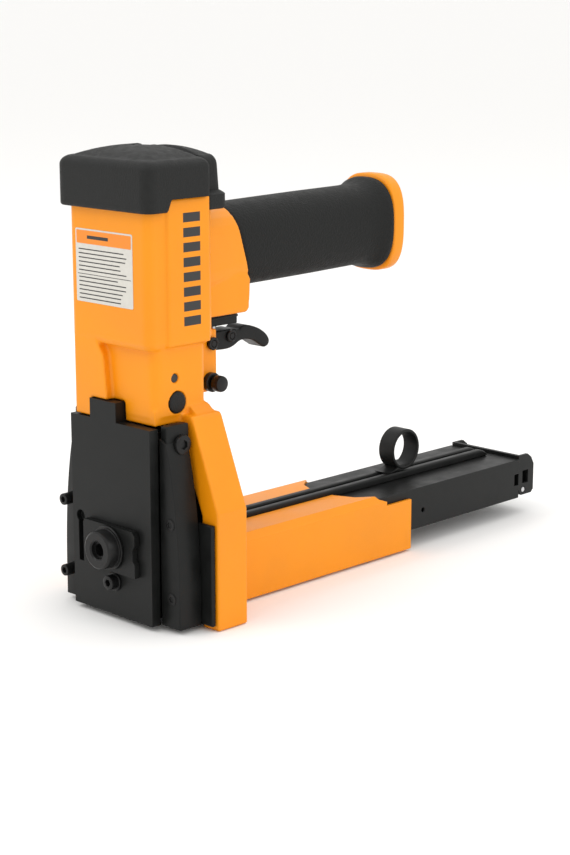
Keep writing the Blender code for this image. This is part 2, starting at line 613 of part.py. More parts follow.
def trigger_parts():
    y, z = TRIGGER_PIVOT_Y, TRIGGER_PIVOT_Z
    outline = [(-4.4, -3.0), (-3.0, -4.4), (6.0, -5.6), (14.0, -7.0), (23.0, -7.2), (27.0, -6.0),
               (31.0, -4.2), (35.0, -3.9), (40.0, -5.2),
               (45.0, -8.0), (48.0, -9.6), (50.6, -9.6), (52.4, -7.6), (52.2, -5.4), (50.0, -2.6),
               (45.0, 0.6), (40.0, 2.8), (35.0, 4.0),
               (32.6, 3.7), (31.0, 2.2), (29.0, 2.4), (26.5, 3.2), (4.0, 3.2), (0.0, 4.2), (-3.0, 3.2),
               (-4.4, 1.0)]
    half = TRIGGER_THICKNESS / 2
    trigger = add_part("trigger", prism_mesh("trigger", [(a * MM, b * MM) for a, b in outline], "X", -half,
                                             half), BLACK_PLASTIC)
    trigger.location = (0, y, z)
    reach = half + 1 * MM
    cut(trigger, rod_mesh("trigger_pivot_hole", "X", (y, z), PIVOT_RADIUS + RUNNING_GAP, -reach, reach, 16),
        rod_mesh("rocker_pin_hole", "X", (TRIGGER_Y, TRIGGER_Z), 2.0 * MM + GAP, -reach, reach, 16))
    bevel(trigger, 0.6 * MM, 1, 30)
    pin = [(0, half + 1.6 * MM), (3.2 * MM, half + 1.6 * MM), (3.2 * MM, half + GAP),
           (2.0 * MM, half + GAP), (2.0 * MM, -half - 0.6 * MM),
           (0, -half - 0.6 * MM)]
    turned("trigger_rocker_pin", pin, "X", (0, TRIGGER_Y, TRIGGER_Z), STEEL, 16)
    outer = RIB_X + RIB_THICKNESS
    pivot = [(0, outer + 2.4 * MM), (3.4 * MM, outer + 2.4 * MM), (3.4 * MM, outer + GAP),
             (PIVOT_RADIUS, outer + GAP),
             (PIVOT_RADIUS, -outer - 1 * MM), (0, -outer - 1 * MM)]
    turned("trigger_pivot_pin", pivot, "X", (0, y, z), BLACK_STEEL, 18)
    low = BOSS_BOTTOM_Z - GAP
    block = add_part("trigger_valve_block", box_mesh("trigger_valve_block", (-7.5 * MM, 7.5 * MM),
                                                     (VALVE_Y - 8 * MM, VALVE_Y + 11 * MM),
                                                     (VALVE_BLOCK_BOTTOM_Z, low)), BLACK_PLASTIC)
    join(block, rod_mesh("valve_neck", "Z", (0, VALVE_Y), VALVE_RADIUS, low - 1 * MM, low + 10 * MM, 20))
    stem_hole = STEM_RADIUS + RUNNING_GAP
    cut(block, rod_mesh("stem_hole", "Z", (0, VALVE_Y), stem_hole, VALVE_BLOCK_BOTTOM_Z - 1 * MM,
                        low + 11 * MM, 14))
    bevel(block, 0.5 * MM, 1)
    stem_low = z + 3.2 * MM + GAP
    add_part("valve_stem", rod_mesh("valve_stem", "Z", (0, VALVE_Y), STEM_RADIUS, stem_low, low + 7 * MM,
                                    14), STEEL, True)


def leg_outline():
    """The right leg from the front: from the shoulder, flaring out to the knee, then straight down."""
    outer = FEET_HALF_WIDTH
    inner = outer - LEG_WIDTH
    knee = LEG_KNEE_Z
    return [(LEG_TOP_HALF_WIDTH - 8 * MM, LEG_TOP_Z), (LEG_TOP_HALF_WIDTH, LEG_TOP_Z),
            (LEG_TOP_HALF_WIDTH + 1.5 * MM, LEG_TOP_Z - 2 * MM),
            (outer, knee), (outer, 0), (inner, 0), (inner, knee - 3 * MM),
            (LEG_TOP_HALF_WIDTH - 8 * MM, LEG_TOP_Z - 15 * MM)]


def nose_frame():
    frame = add_part("nose_frame", prism_mesh("nose_frame", leg_outline(), "Y", LEG_FRONT_Y, LEG_REAR_Y),
                     YELLOW)
    left = mirrored("left_leg", prism_mesh("left_leg", leg_outline(), "Y", LEG_FRONT_Y, LEG_REAR_Y))
    web_half = LEG_TOP_HALF_WIDTH - 7 * MM
    join(frame, left, box_mesh("shoulder_web", (-web_half, web_half), (LEG_FRONT_Y, LEG_REAR_Y),
                               (LEG_TOP_Z - WEB_THICKNESS, LEG_TOP_Z)))
    inner = FEET_HALF_WIDTH - LEG_WIDTH + 1 * MM
    join(frame, box_mesh("rear_wall", (-inner, inner), (LEG_REAR_Y - 4 * MM, LEG_REAR_Y - 0.3 * MM),
                         (HOUSING_BOTTOM_Z, LEG_KNEE_Z - 8 * MM)))
    window = CHANNEL_HALF_WIDTH + GAP
    room = BLADE_WIDTH / 2 + RUNNING_GAP
    cut(frame, box_mesh("channel_window", (-window, window), (LEG_REAR_Y - 6 * MM, LEG_REAR_Y + 5 * MM),
                        (CHANNEL_BOTTOM_Z - GAP, CHANNEL_TOP_Z + GAP)),
        box_mesh("rail_window", (-RAIL_OUTER_X - GAP, RAIL_OUTER_X + GAP),
                 (LEG_REAR_Y - 6 * MM, LEG_REAR_Y + 5 * MM),
                 (CHANNEL_TOP_Z - 2 * MM, RAIL_TOP_Z + GAP)),
        box_mesh("blade_pass", (-room, room),
                 (LEG_FRONT_Y - 1 * MM, CYLINDER_Y + BLADE_THICKNESS / 2 + RUNNING_GAP),
                 (LEG_TOP_Z - 12 * MM, LEG_TOP_Z + 1 * MM)))
    return bevel(frame, 0.7 * MM, 2)


def cheek_outline():
    top = 99.0 * MM
    flare = [(0.0, CHEEK_HALF_WIDTH), (15.0, CHEEK_HALF_WIDTH), (40.0, CHEEK_HALF_WIDTH - 0.8 * MM),
             (60.0, CHEEK_HALF_WIDTH - 2.0 * MM),
             (75.0, CHEEK_HALF_WIDTH - 4.2 * MM), (85.0, CHEEK_HALF_WIDTH - 6.5 * MM)]
    outer = [(x, NOSE_BOTTOM_Z + z * MM) for z, x in flare]
    inner = PLATE_HALF_WIDTH + GAP
    return [(inner, NOSE_BOTTOM_Z), *outer, (CHEEK_TOP_HALF_WIDTH, top), (inner, top + 4 * MM)]


def nose_parts():
    wide = PLATE_HALF_WIDTH
    outline = [(-wide, NOSE_BOTTOM_Z), (wide, NOSE_BOTTOM_Z), (wide, PLATE_TOP_Z),
               (TAB_RIGHT_X, PLATE_TOP_Z), (TAB_RIGHT_X, TAB_TOP_Z),
               (TAB_LEFT_X, TAB_TOP_Z), (TAB_LEFT_X, PLATE_TOP_Z), (-wide, PLATE_TOP_Z)]
    plate = add_part("front_plate", prism_mesh("front_plate", outline, "Y", 0, PLATE_THICKNESS), BLACK_STEEL)
    join(plate, box_mesh("plate_tab", (TAB_LEFT_X + 0.2 * MM, TAB_RIGHT_X - 0.2 * MM), (2 * MM, TAB_DEPTH),
                         (PLATE_TOP_Z - 2 * MM, TAB_TOP_Z - 0.6 * MM)))
    cut(plate, box_mesh("keyhole_slot", (-26 * MM, -22.5 * MM), (-1 * MM, 3 * MM), (26 * MM, 50 * MM)),
        rod_mesh("keyhole_end", "Y", (-24.2 * MM, 50 * MM), 3.2 * MM, -1 * MM, 3 * MM, 16),
        rod_mesh("knob_stud_hole", "Y", (KNOB_X, KNOB_Z), 3 * MM + GAP, -2 * MM, 8 * MM, 20),
        rod_mesh("front_screw_hole", "Y", (KNOB_X, 20.5 * MM), 2.5 * MM + GAP, -2 * MM, 8 * MM, 16))
    bevel(plate, 0.5 * MM, 1)
    low, high = ADJUSTER_BOTTOM_Z, ADJUSTER_TOP_Z
    wide = ADJUSTER_HALF_WIDTH
    notch = 1.6 * MM
    right = KNOB_X + wide
    left = KNOB_X - wide
    outline = [(left, low), (right, low), (right, low + 7 * MM), (right - notch, low + 9 * MM),
               (right - notch, high - 9 * MM),
               (right, high - 7 * MM), (right, high - 2 * MM), (right - 2 * MM, high), (left, high),
               (left, high - 9 * MM), (left + notch, high - 11 * MM), (left + notch, low + 11 * MM),
               (left, low + 9 * MM)]
    front = -GAP - ADJUSTER_THICKNESS
    adjuster = add_part("depth_adjuster_plate", prism_mesh("depth_adjuster_plate", outline, "Y", front,
                                                           -GAP), BLACK_STEEL)
    slot = 3 * MM + RUNNING_GAP
    cut(adjuster, box_mesh("adjuster_slot", (KNOB_X - slot, KNOB_X + slot), (front - 1 * MM, 1 * MM),
                           (KNOB_Z - 8 * MM, KNOB_Z + 8 * MM)))
    bevel(adjuster, 0.4 * MM, 1)
    seat = front - GAP
    hole = 4.6 * MM
    rim = KNOB_RADIUS + 1.5 * MM
    stud_hole = 3 * MM + RUNNING_GAP
    turned("adjuster_knob", [(hole, KNOB_HEIGHT - 2.3 * MM), (hole, KNOB_HEIGHT),
                             (KNOB_RADIUS - 1 * MM, KNOB_HEIGHT),
                             (KNOB_RADIUS, KNOB_HEIGHT - 1 * MM), (KNOB_RADIUS, 1.4 * MM), (rim, 1.4 * MM),
                             (rim, 0),
                             (stud_hole, 0), (stud_hole, KNOB_HEIGHT - 2.3 * MM)], "Y",
           (KNOB_X, seat, KNOB_Z), BLACK_STEEL, 32)
    turned("knob_stud", [(0, 13.5 * MM), (3 * MM, 13.5 * MM), (3 * MM, 2.8 * MM), (5 * MM, 2.8 * MM),
                         (5 * MM, 0.4 * MM), (0, 0.4 * MM)], "Y",
           (KNOB_X, PLATE_THICKNESS + 3.2 * MM, KNOB_Z), BLACK_STEEL, 20)
    screw = disc_head("front_screw", "Y", (KNOB_X, 20.5 * MM), 3.8 * MM, -5 * MM, -GAP, 1.9 * MM,
                      BLACK_STEEL, -1)
    join(screw, rod_mesh("front_washer", "Y", (KNOB_X, 20.5 * MM), 5 * MM, -GAP - 1 * MM, -GAP))
    block_half = 22.0 * MM
    block = add_part("drive_guide_front", box_mesh("drive_guide_front", (-block_half, block_half),
                     (PLATE_THICKNESS + GAP, CYLINDER_Y - BLADE_THICKNESS / 2 - RUNNING_GAP),
                                                   (NOSE_BOTTOM_Z, LEG_TOP_Z - WEB_THICKNESS - GAP)),
                     BLACK_STEEL)
    cut(block, rod_mesh("stud_room", "Y", (KNOB_X, KNOB_Z), 6 * MM, PLATE_THICKNESS - 1 * MM,
                        PLATE_THICKNESS + 5 * MM, 20))
    add_part("drive_guide_rear", box_mesh("drive_guide_rear", (-block_half, block_half),
             (CYLINDER_Y + BLADE_THICKNESS / 2 + RUNNING_GAP, BACK_PLATE_Y - GAP),
                                          (45 * MM, LEG_TOP_Z - 12.5 * MM)), BLACK_STEEL)
    cheek_mesh = prism_mesh("side_cheek_right", cheek_outline(), "Y", CHEEK_FRONT_Y, CHEEK_BAR_REAR_Y)
    left_cheek, right_cheek = pair("side_cheek", cheek_mesh, BLACK_STEEL)
    for side, cheek, word in ((-1, left_cheek, "left"), (1, right_cheek, "right")):
        x = sorted((side * (PLATE_HALF_WIDTH + 2 * GAP), side * (CHEEK_TOP_HALF_WIDTH - 0.3 * MM)))
        join(cheek, box_mesh("cheek_plate", x, (CHEEK_BAR_REAR_Y - 2 * MM, CHEEK_REAR_Y),
                             (NOSE_BOTTOM_Z + GAP, 105 * MM)))
        heads = ((56 * MM, 38 * MM), (17.5 * MM, 38.5 * MM))
        for n, (z, x_at) in enumerate(heads):
            proud = 6.4 * MM if side < 0 else 0.5 * MM
            radius = 3.1 * MM
            cut(cheek, rod_mesh("cheek_screw_hole", "Y", (side * x_at, z), radius + GAP, 0,
                                CHEEK_FRONT_Y + 3 * MM, 20))
            disc_head("cheek_screw_%s_%d" % (word, n + 1), "Y", (side * x_at, z), radius,
                      CHEEK_FRONT_Y - proud, CHEEK_FRONT_Y + 3 * MM - GAP,
                      1.6 * MM, BLACK_STEEL, -1)
        seat = sorted((side * (CHEEK_TOP_HALF_WIDTH - 0.1 * MM), side * (CHEEK_TOP_HALF_WIDTH + 10 * MM)))
        cut(cheek, rod_mesh("pivot_seat", "X", (16 * MM, 95 * MM), 5 * MM + GAP, *seat))
        ends = sorted((side * (CHEEK_TOP_HALF_WIDTH + 0.2 * MM), side * (CHEEK_TOP_HALF_WIDTH + 2.4 * MM)))
        disc_head("pivot_screw_" + word, "X", (16 * MM, 95 * MM), 5 * MM, *ends, 2.2 * MM, BLACK_STEEL, side)
    flare = FEET_HALF_WIDTH - LEG_WIDTH - GAP
    top = LEG_KNEE_Z - 3 * MM
    slope = (LEG_TOP_Z - 15 * MM - top) / (flare - LEG_TOP_HALF_WIDTH + 8 * MM)
    shelf = 92 * MM
    shelf_x = flare - (shelf - top) / slope
    half = [(flare, NOSE_BOTTOM_Z), (flare, top - GAP), (shelf_x, shelf - GAP)]
    outline = half + [(-x, z) for x, z in reversed(half)]
    back = add_part("nose_back_plate", prism_mesh("nose_back_plate", outline, "Y", BACK_PLATE_Y,
                                                  BACK_PLATE_Y + BACK_PLATE_THICKNESS), BLACK_STEEL)
    cut(back, box_mesh("staple_mouth", (-STAPLE_HALF_WIDTH - 1.5 * MM, STAPLE_HALF_WIDTH + 1.5 * MM),
                       (BACK_PLATE_Y - 1 * MM, BACK_PLATE_Y + BACK_PLATE_THICKNESS + 1 * MM),
                       (CHANNEL_BOTTOM_Z, 42 * MM)))
    for side, word in ((-1, "left"), (1, "right")):
        x = sorted((side * (FEET_HALF_WIDTH - LEG_WIDTH - 0.7 * MM), side * (FEET_HALF_WIDTH - 1.8 * MM)))
        guard = add_part("leg_guard_" + word,
                         box_mesh("leg_guard", x, (LEG_FRONT_Y - GAP - 2.5 * MM, LEG_FRONT_Y - GAP),
                                                       (NOSE_BOTTOM_Z, 55 * MM)), BLACK_STEEL)
        bevel(guard, 0.4 * MM, 1)
        cut(back, rod_mesh("anvil_pin_hole", "Y", (side * ANVIL_X, ANVIL_Z), ANVIL_PIN_RADIUS + GAP,
                           BACK_PLATE_Y - 1 * MM,
                           BACK_PLATE_Y + BACK_PLATE_THICKNESS + 1 * MM, 16))
        anvil_y = BACK_PLATE_Y - RUNNING_GAP - ANVIL_THICKNESS
        pin = [(0, 9.6 * MM), (2.9 * MM, 9.6 * MM), (2.9 * MM, 8.4 * MM), (ANVIL_PIN_RADIUS, 8.4 * MM),
               (ANVIL_PIN_RADIUS, 0), (0, 0)]
        turned("anvil_pin_" + word, pin, "Y", (side * ANVIL_X, BACK_PLATE_Y + BACK_PLATE_THICKNESS,
                                               ANVIL_Z), STEEL, 16)
        inner_r = ANVIL_RADIUS - 4.5 * MM
        hook = arc_points((0, 0), ANVIL_RADIUS, 20, 95, 10) + arc_points((0, 0), inner_r, 95, 62, 4)
        hook += arc_points((0, 0), 4.8 * MM, 85, 372, 12) + arc_points((0, 0), inner_r, 40, 20, 3)
        mesh = prism_mesh("clinch_anvil", hook, "Y", -ANVIL_THICKNESS / 2, ANVIL_THICKNESS / 2)
        if side < 0:
            mesh = mirrored("clinch_anvil", mesh)
        anvil = add_part("clinch_anvil_" + word, mesh, STEEL)
        anvil.location = (side * ANVIL_X, anvil_y + ANVIL_THICKNESS / 2, ANVIL_Z)
        cut(anvil, rod_mesh("anvil_bore", "Y", (side * ANVIL_X, ANVIL_Z), ANVIL_PIN_RADIUS + RUNNING_GAP,
                            anvil_y - 1 * MM,
                            anvil_y + ANVIL_THICKNESS + 1 * MM, 16))


def magazine_parts():
    half = HOUSING_HALF_WIDTH
    side_z = HOUSING_SIDE_Z
    section = [(half, HOUSING_BOTTOM_Z), (half, side_z), (half - 2.8 * MM, HOUSING_TOP_Z)]
    outline = section + [(-x, z) for x, z in reversed(section)]
    housing = add_part("magazine_housing", prism_mesh("magazine_housing", outline, "Y", HOUSING_FRONT_Y,
                                                      HOUSING_REAR_Y), YELLOW)
    pocket = CHANNEL_HALF_WIDTH + GAP
    span = (HOUSING_FRONT_Y - 2 * MM, HOUSING_REAR_Y + 2 * MM)
    cut(housing, box_mesh("channel_pocket", (-pocket, pocket), span,
                          (CHANNEL_BOTTOM_Z - GAP, CHANNEL_TOP_Z + GAP)),
        box_mesh("rail_gap", (-RAIL_OUTER_X - 0.8 * MM, RAIL_OUTER_X + 0.8 * MM), span,
                 (CHANNEL_TOP_Z - 2 * MM, HOUSING_TOP_Z + 2 * MM)))
    cutback = [(-half - 2 * MM, 185 * MM), (-half + 1.5 * MM, 172 * MM), (-20 * MM, 161 * MM),
               (-RAIL_OUTER_X - 2 * MM, 156 * MM),
               (-RAIL_OUTER_X + 2 * MM, 156 * MM), (-RAIL_OUTER_X + 2 * MM, 203 * MM),
               (-half - 2 * MM, 203 * MM)]
    for mirror, word in ((1, "left"), (-1, "right")):
        trim = [(mirror * x, y) for x, y in cutback]
        cut(housing, prism_mesh("top_cutback_" + word, trim, "Z", CHANNEL_TOP_Z - 4.5 * MM,
                                HOUSING_TOP_Z + 3 * MM))
    bevel(housing, 0.5 * MM, 1)
    outer = CHANNEL_HALF_WIDTH
    wall = CHANNEL_WALL
    channel = add_part("magazine_channel", box_mesh("magazine_channel", (-outer, outer),
                                                    (CHANNEL_FRONT_Y, CHANNEL_REAR_Y),
                                                    (CHANNEL_BOTTOM_Z, CHANNEL_TOP_Z)),
                       BLACK_STEEL)
    cut(channel, box_mesh("channel_inside", (-outer + wall, outer - wall),
                          (CHANNEL_FRONT_Y - 2 * MM, CHANNEL_REAR_Y + 2 * MM),
                          (CHANNEL_BOTTOM_Z + wall, CHANNEL_TOP_Z - wall)),
        box_mesh("pusher_slot", (-RAIL_INNER_X, RAIL_INNER_X), (200 * MM, CHANNEL_REAR_Y - 8 * MM),
                 (CHANNEL_TOP_Z - 4 * MM, CHANNEL_TOP_Z + 2 * MM)))
    for side in (-1, 1):
        x = sorted((side * (outer - 3 * MM), side * (outer + 2 * MM)))
        cut(channel, box_mesh("latch_window", x, (CHANNEL_REAR_Y - 4.5 * MM, CHANNEL_REAR_Y + 2 * MM),
                              (19 * MM, 26 * MM)),
            rod_mesh("channel_hole", "X", (211.7 * MM, 21 * MM), 1.3 * MM, *x, 12))
    bevel(channel, 0.4 * MM, 1)
    rail = box_mesh("rail_right", (RAIL_INNER_X, RAIL_OUTER_X), (CHANNEL_FRONT_Y, CHANNEL_REAR_Y - 6 * MM),
                    (CHANNEL_TOP_Z + GAP, RAIL_TOP_Z))
    for obj in pair("rail", rail, BLACK_STEEL):
        bevel(obj, 1.2 * MM, 2)
    core_low = CHANNEL_BOTTOM_Z + wall + GAP
    core = add_part("staple_core", box_mesh("staple_core", (-CORE_HALF_WIDTH, CORE_HALF_WIDTH),
                                            (CHANNEL_FRONT_Y, CHANNEL_REAR_Y - 1 * MM),
                                            (core_low, CORE_TOP_Z)), STEEL)
    cut(core, box_mesh("core_hollow", (-CORE_HALF_WIDTH + wall, CORE_HALF_WIDTH - wall),
                       (CHANNEL_FRONT_Y - 1 * MM, CHANNEL_REAR_Y),
                       (core_low - 1 * MM, CORE_TOP_Z - wall)))
    pusher_top = CHANNEL_TOP_Z - wall - RUNNING_GAP
    stop = CHANNEL_REAR_Y - SPRING_STOP_LENGTH
    join(core, box_mesh("spring_stop", (-5 * MM, 5 * MM), (stop, CHANNEL_REAR_Y - 1.2 * MM),
                        (CORE_TOP_Z - 1 * MM, pusher_top)))
    top = CORE_TOP_Z + GAP + STAPLE_WIRE
    stick_end = RING_Y - PUSHER_LENGTH / 2 - GAP
    stick = add_part("staple_stick", box_mesh("staple_stick", (-STAPLE_HALF_WIDTH, STAPLE_HALF_WIDTH),
                     (CYLINDER_Y + BLADE_THICKNESS / 2 + RUNNING_GAP, stick_end),
                                              (max(top - STAPLE_LEG, core_low), top)), STEEL)
    cut(stick, box_mesh("stick_inside", (-STAPLE_HALF_WIDTH + STAPLE_WIRE, STAPLE_HALF_WIDTH - STAPLE_WIRE),
                        (0, stick_end + 1 * MM),
                        (0, top - STAPLE_WIRE)))
    pusher_y = (stick_end + GAP, stick_end + GAP + PUSHER_LENGTH)
    pusher = add_part("staple_pusher", box_mesh("staple_pusher", (-STAPLE_HALF_WIDTH, STAPLE_HALF_WIDTH),
                                                pusher_y, (core_low + 1 * MM, pusher_top)),
                      BLACK_STEEL)
    cut(pusher, box_mesh("pusher_inside", (-CORE_HALF_WIDTH - RUNNING_GAP, CORE_HALF_WIDTH + RUNNING_GAP),
                         (pusher_y[0] - 1 * MM, pusher_y[1] + 1 * MM), (0, CORE_TOP_Z + RUNNING_GAP)))
    stem_half = RAIL_INNER_X - RUNNING_GAP
    ring_z = RAIL_TOP_Z + RUNNING_GAP + RING_RADIUS
    join(pusher, box_mesh("pusher_stem", (-stem_half, stem_half), (RING_Y - 8 * MM, RING_Y + 8 * MM),
                          (pusher_top - 1 * MM, RAIL_TOP_Z)))
    ring_half = RING_WIDTH / 2
    ring = add_part("pull_ring", rod_mesh("pull_ring", "X", (RING_Y, ring_z), RING_RADIUS, -ring_half,
                                          ring_half, 40), BLACK_STEEL, True)
    cut(ring, rod_mesh("finger_hole", "X", (RING_Y, ring_z), RING_RADIUS - RING_WALL, -ring_half - 2 * MM,
                       ring_half + 2 * MM, 40))
    spring_z = (CORE_TOP_Z + pusher_top) / 2
    rod_end = stop - GAP
    rod_start = pusher_y[1] - 12 * MM
    cut(pusher, rod_mesh("guide_rod_bore", "Y", (0, spring_z), 1.1 * MM + RUNNING_GAP, pusher_y[0] - 1 * MM,
                         pusher_y[1] + 1 * MM, 12))
    add_part("spring_guide_rod", rod_mesh("spring_guide_rod", "Y", (0, spring_z), 1.1 * MM, rod_start,
                                          rod_end, 12), STEEL, True)
    feed_spring(pusher_y[1] + GAP + SPRING_WIRE, stop - GAP - SPRING_WIRE, spring_z)
    end_latch()


def feed_spring(start, end, z):
    """A compression spring along Y: a POLY spline that turns evenly about its guide rod."""
    per_turn = 8
    total = SPRING_TURNS * per_turn
    curve = bpy.data.curves.new("feed_spring", "CURVE")
    curve.dimensions = "3D"
    curve.bevel_depth = SPRING_WIRE
    curve.bevel_resolution = 1
    curve.use_fill_caps = True
    spline = curve.splines.new("POLY")
    spline.points.add(total)
    for i, point in enumerate(spline.points):
        turn = 2 * math.pi * i / per_turn
        point.co = (SPRING_RADIUS * math.cos(turn), start + (end - start) * i / total,
                    z + SPRING_RADIUS * math.sin(turn), 1)
    curve.materials.append(material(STEEL))
    obj = bpy.data.objects.new("feed_spring", curve)
    obj.parent = BASE
    PARTS.objects.link(obj)


def end_latch():
    start = CHANNEL_REAR_Y + GAP
    half = CHANNEL_HALF_WIDTH - 0.8 * MM
    low, high = CHANNEL_BOTTOM_Z + 1 * MM, CHANNEL_TOP_Z + 2 * MM
    outline = [(start, low + 4 * MM), (start + 3 * MM, low), (start + LATCH_LENGTH - 2 * MM, low),
               (start + LATCH_LENGTH, low + 2 * MM), (start + LATCH_LENGTH, high - 7 * MM),
               (start + LATCH_LENGTH - 2.5 * MM, high - 2.5 * MM), (start + LATCH_LENGTH - 6 * MM, high),
               (start, high)]
    latch = add_part("end_latch", prism_mesh("end_latch", outline, "X", -half, half), BLACK_STEEL)
    inside = box_mesh("latch_inside", (-half + 2 * MM, half - 2 * MM),
                      (start + 2.5 * MM, start + LATCH_LENGTH - 2 * MM), (low + 2 * MM, high + 5 * MM))
    cut(latch, inside,
        box_mesh("latch_slot", (-half - 2 * MM, half + 2 * MM), (start + 4 * MM, start + 9.5 * MM),
                 (19 * MM, 27 * MM)),
        rod_mesh("latch_pin_bore", "X", (start + 5 * MM, low + 3.2 * MM), 1.5 * MM + RUNNING_GAP,
                 -half - 2 * MM, half + 2 * MM, 12))
    bevel(latch, 0.4 * MM, 1)
    add_part("latch_pin", rod_mesh("latch_pin", "X", (start + 5 * MM, low + 3.2 * MM), 1.5 * MM,
                                   -half + 0.2 * MM, half - 0.2 * MM, 12), STEEL, True)


def lock_pin():
    outer = RIB_X + RIB_THICKNESS
    profile = [(0, outer + 10 * MM), (3.6 * MM, outer + 10 * MM), (4.2 * MM, outer + 9 * MM),
               (4.2 * MM, outer + 4.5 * MM), (LOCK_RADIUS, outer + 4 * MM),
               (LOCK_RADIUS, -outer - 2 * MM), (0, -outer - 2 * MM)]
    turned("magazine_lock_pin", profile, "X", (0, LOCK_Y, LOCK_Z), BLACK_STEEL, 20)



body_casting()
side_plugs()
top_cap()
cylinder_parts()
handle_parts()
trigger_parts()
nose_frame()
nose_parts()
magazine_parts()
lock_pin()
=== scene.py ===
"""Finished surfaces of a pneumatic carton stapler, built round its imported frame.

Everything is in metres in the frame's own axes: +Z up, the nose towards -Y, the magazine towards +Y.
Small lengths are written in millimetres times MM.
"""

import json
import math

import bmesh
import bpy
import numpy as np
from bpy.props import FloatProperty, FloatVectorProperty, PointerProperty
from bpy.types import Operator, Panel, PropertyGroup
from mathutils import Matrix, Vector


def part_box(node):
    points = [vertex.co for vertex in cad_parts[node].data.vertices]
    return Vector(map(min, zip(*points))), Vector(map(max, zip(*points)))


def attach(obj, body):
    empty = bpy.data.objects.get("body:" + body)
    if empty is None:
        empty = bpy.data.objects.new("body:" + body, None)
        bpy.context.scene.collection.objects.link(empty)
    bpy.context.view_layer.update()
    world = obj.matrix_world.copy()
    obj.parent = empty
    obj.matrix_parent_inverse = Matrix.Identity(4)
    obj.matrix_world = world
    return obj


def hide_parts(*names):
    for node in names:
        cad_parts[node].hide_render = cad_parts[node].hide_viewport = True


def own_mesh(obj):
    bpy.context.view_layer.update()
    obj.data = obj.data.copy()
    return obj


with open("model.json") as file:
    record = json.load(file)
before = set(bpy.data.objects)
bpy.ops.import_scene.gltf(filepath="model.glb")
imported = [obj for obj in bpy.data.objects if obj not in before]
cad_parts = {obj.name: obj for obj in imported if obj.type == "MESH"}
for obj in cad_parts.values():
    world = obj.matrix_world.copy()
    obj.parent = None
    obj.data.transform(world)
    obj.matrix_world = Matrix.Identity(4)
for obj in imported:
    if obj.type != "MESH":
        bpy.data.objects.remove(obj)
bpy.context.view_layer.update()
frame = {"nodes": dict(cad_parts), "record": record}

bl_info = {
    "name": "Carton Stapler Surfaces",
    "version": (1, 0, 0),
    "blender": (4, 5, 0),
    "location": "View3D > Sidebar > Stapler",
    "description": "Builds the finished surfaces of a pneumatic carton stapler round its frame",
    "category": "Add Mesh",
}

MM = 0.001
ROOT = "root"
FACE_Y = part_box("front_plate")[0].y  # the front plate's face


# ---------------------------------------------------------------- settings

class StaplerFinishSettings(PropertyGroup):
    """Colours and surface sizes that a user would change."""

    yellow: FloatVectorProperty(name="Yellow", description="Colour of the painted castings", subtype="COLOR",
                                size=3, min=0, max=1, default=(0.84, 0.275, 0.0012))
    black: FloatVectorProperty(name="Black", description="Colour of the powder-coated steel", subtype="COLOR",
                               size=3, min=0, max=1, default=(0.008, 0.0085, 0.0082))
    moulding: FloatVectorProperty(name="Moulding", description="Colour of the cap's moulded plastic",
                                  subtype="COLOR",
                                  size=3, min=0, max=1, default=(0.012, 0.0125, 0.012))
    grain: FloatProperty(name="Grain", description="Size of one grain of the moulded texture", unit="LENGTH",
                         default=0.0007, min=0.0002, max=0.003)


class StaplerShapeSettings(PropertyGroup):
    """Sizes of the finished shapes."""

    casting_voxel: FloatProperty(name="Casting detail", description="Cell size of the castings' surface",
                                 unit="LENGTH", default=0.0007, min=0.0006, max=0.003)
    edge_round: FloatProperty(name="Edge round", description="Radius of a folded sheet's outer edges",
                              unit="LENGTH", default=0.0006, min=0.0001, max=0.002)
    label_lift: FloatProperty(name="Label thickness", description="Thickness of the printed label",
                              unit="LENGTH", default=0.00025, min=0.0001, max=0.001)


def finish_settings():
    return bpy.context.scene.stapler_finish


def shape_settings():
    return bpy.context.scene.stapler_shape


# ---------------------------------------------------------------- mesh helpers

def new_object(name, bm, smooth_angle=32):
    """Welds, turns the faces outwards and links the finished mesh as an object at the origin."""
    bmesh.ops.remove_doubles(bm, verts=bm.verts, dist=2e-6)
    bmesh.ops.dissolve_degenerate(bm, edges=bm.edges, dist=1e-7)
    bmesh.ops.recalc_face_normals(bm, faces=bm.faces)
    if bm.calc_volume(signed=True) < 0:
        bmesh.ops.reverse_faces(bm, faces=bm.faces)
    mesh = bpy.data.meshes.new(name)
    bm.to_mesh(mesh)
    bm.free()
    mesh.shade_smooth()
    mesh.set_sharp_from_angle(angle=math.radians(smooth_angle))
    obj = bpy.data.objects.new(name, mesh)
    bpy.context.scene.collection.objects.link(obj)
    return obj


def grid_faces(rows, columns, wrap_rows=False):
    """Quads between neighbouring rows of a grid whose columns always wrap round."""
    r = np.arange(rows if wrap_rows else rows - 1)[:, None]
    c = np.arange(columns)[None, :]
    r2 = (r + 1) % rows
    c2 = (c + 1) % columns
    quads = np.stack([r * columns + c, r * columns + c2, r2 * columns + c2, r2 * columns + c], axis=-1)
    return quads.reshape(-1, 4)


def tube_surface(name, rings, caps=True, wrap=False, smooth_angle=32):
    """A skin over rings[i, j] = (x, y, z): i runs along the piece, j round it. The end rings are capped."""
    rings = np.asarray(rings, float)
    rows, columns = rings.shape[:2]
    mesh = bpy.data.meshes.new(name)
    mesh.from_pydata(rings.reshape(-1, 3).tolist(), [], grid_faces(rows, columns, wrap).tolist())
    bm = bmesh.new()
    bm.from_mesh(mesh)
    bpy.data.meshes.remove(mesh)
    if caps and not wrap:
        bm.verts.ensure_lookup_table()
        ends = [bm.faces.new([bm.verts[i] for i in range(columns)]),
                bm.faces.new([bm.verts[(rows - 1) * columns + i] for i in range(columns)])]
        bmesh.ops.triangulate(bm, faces=ends)
    return new_object(name, bm, smooth_angle)


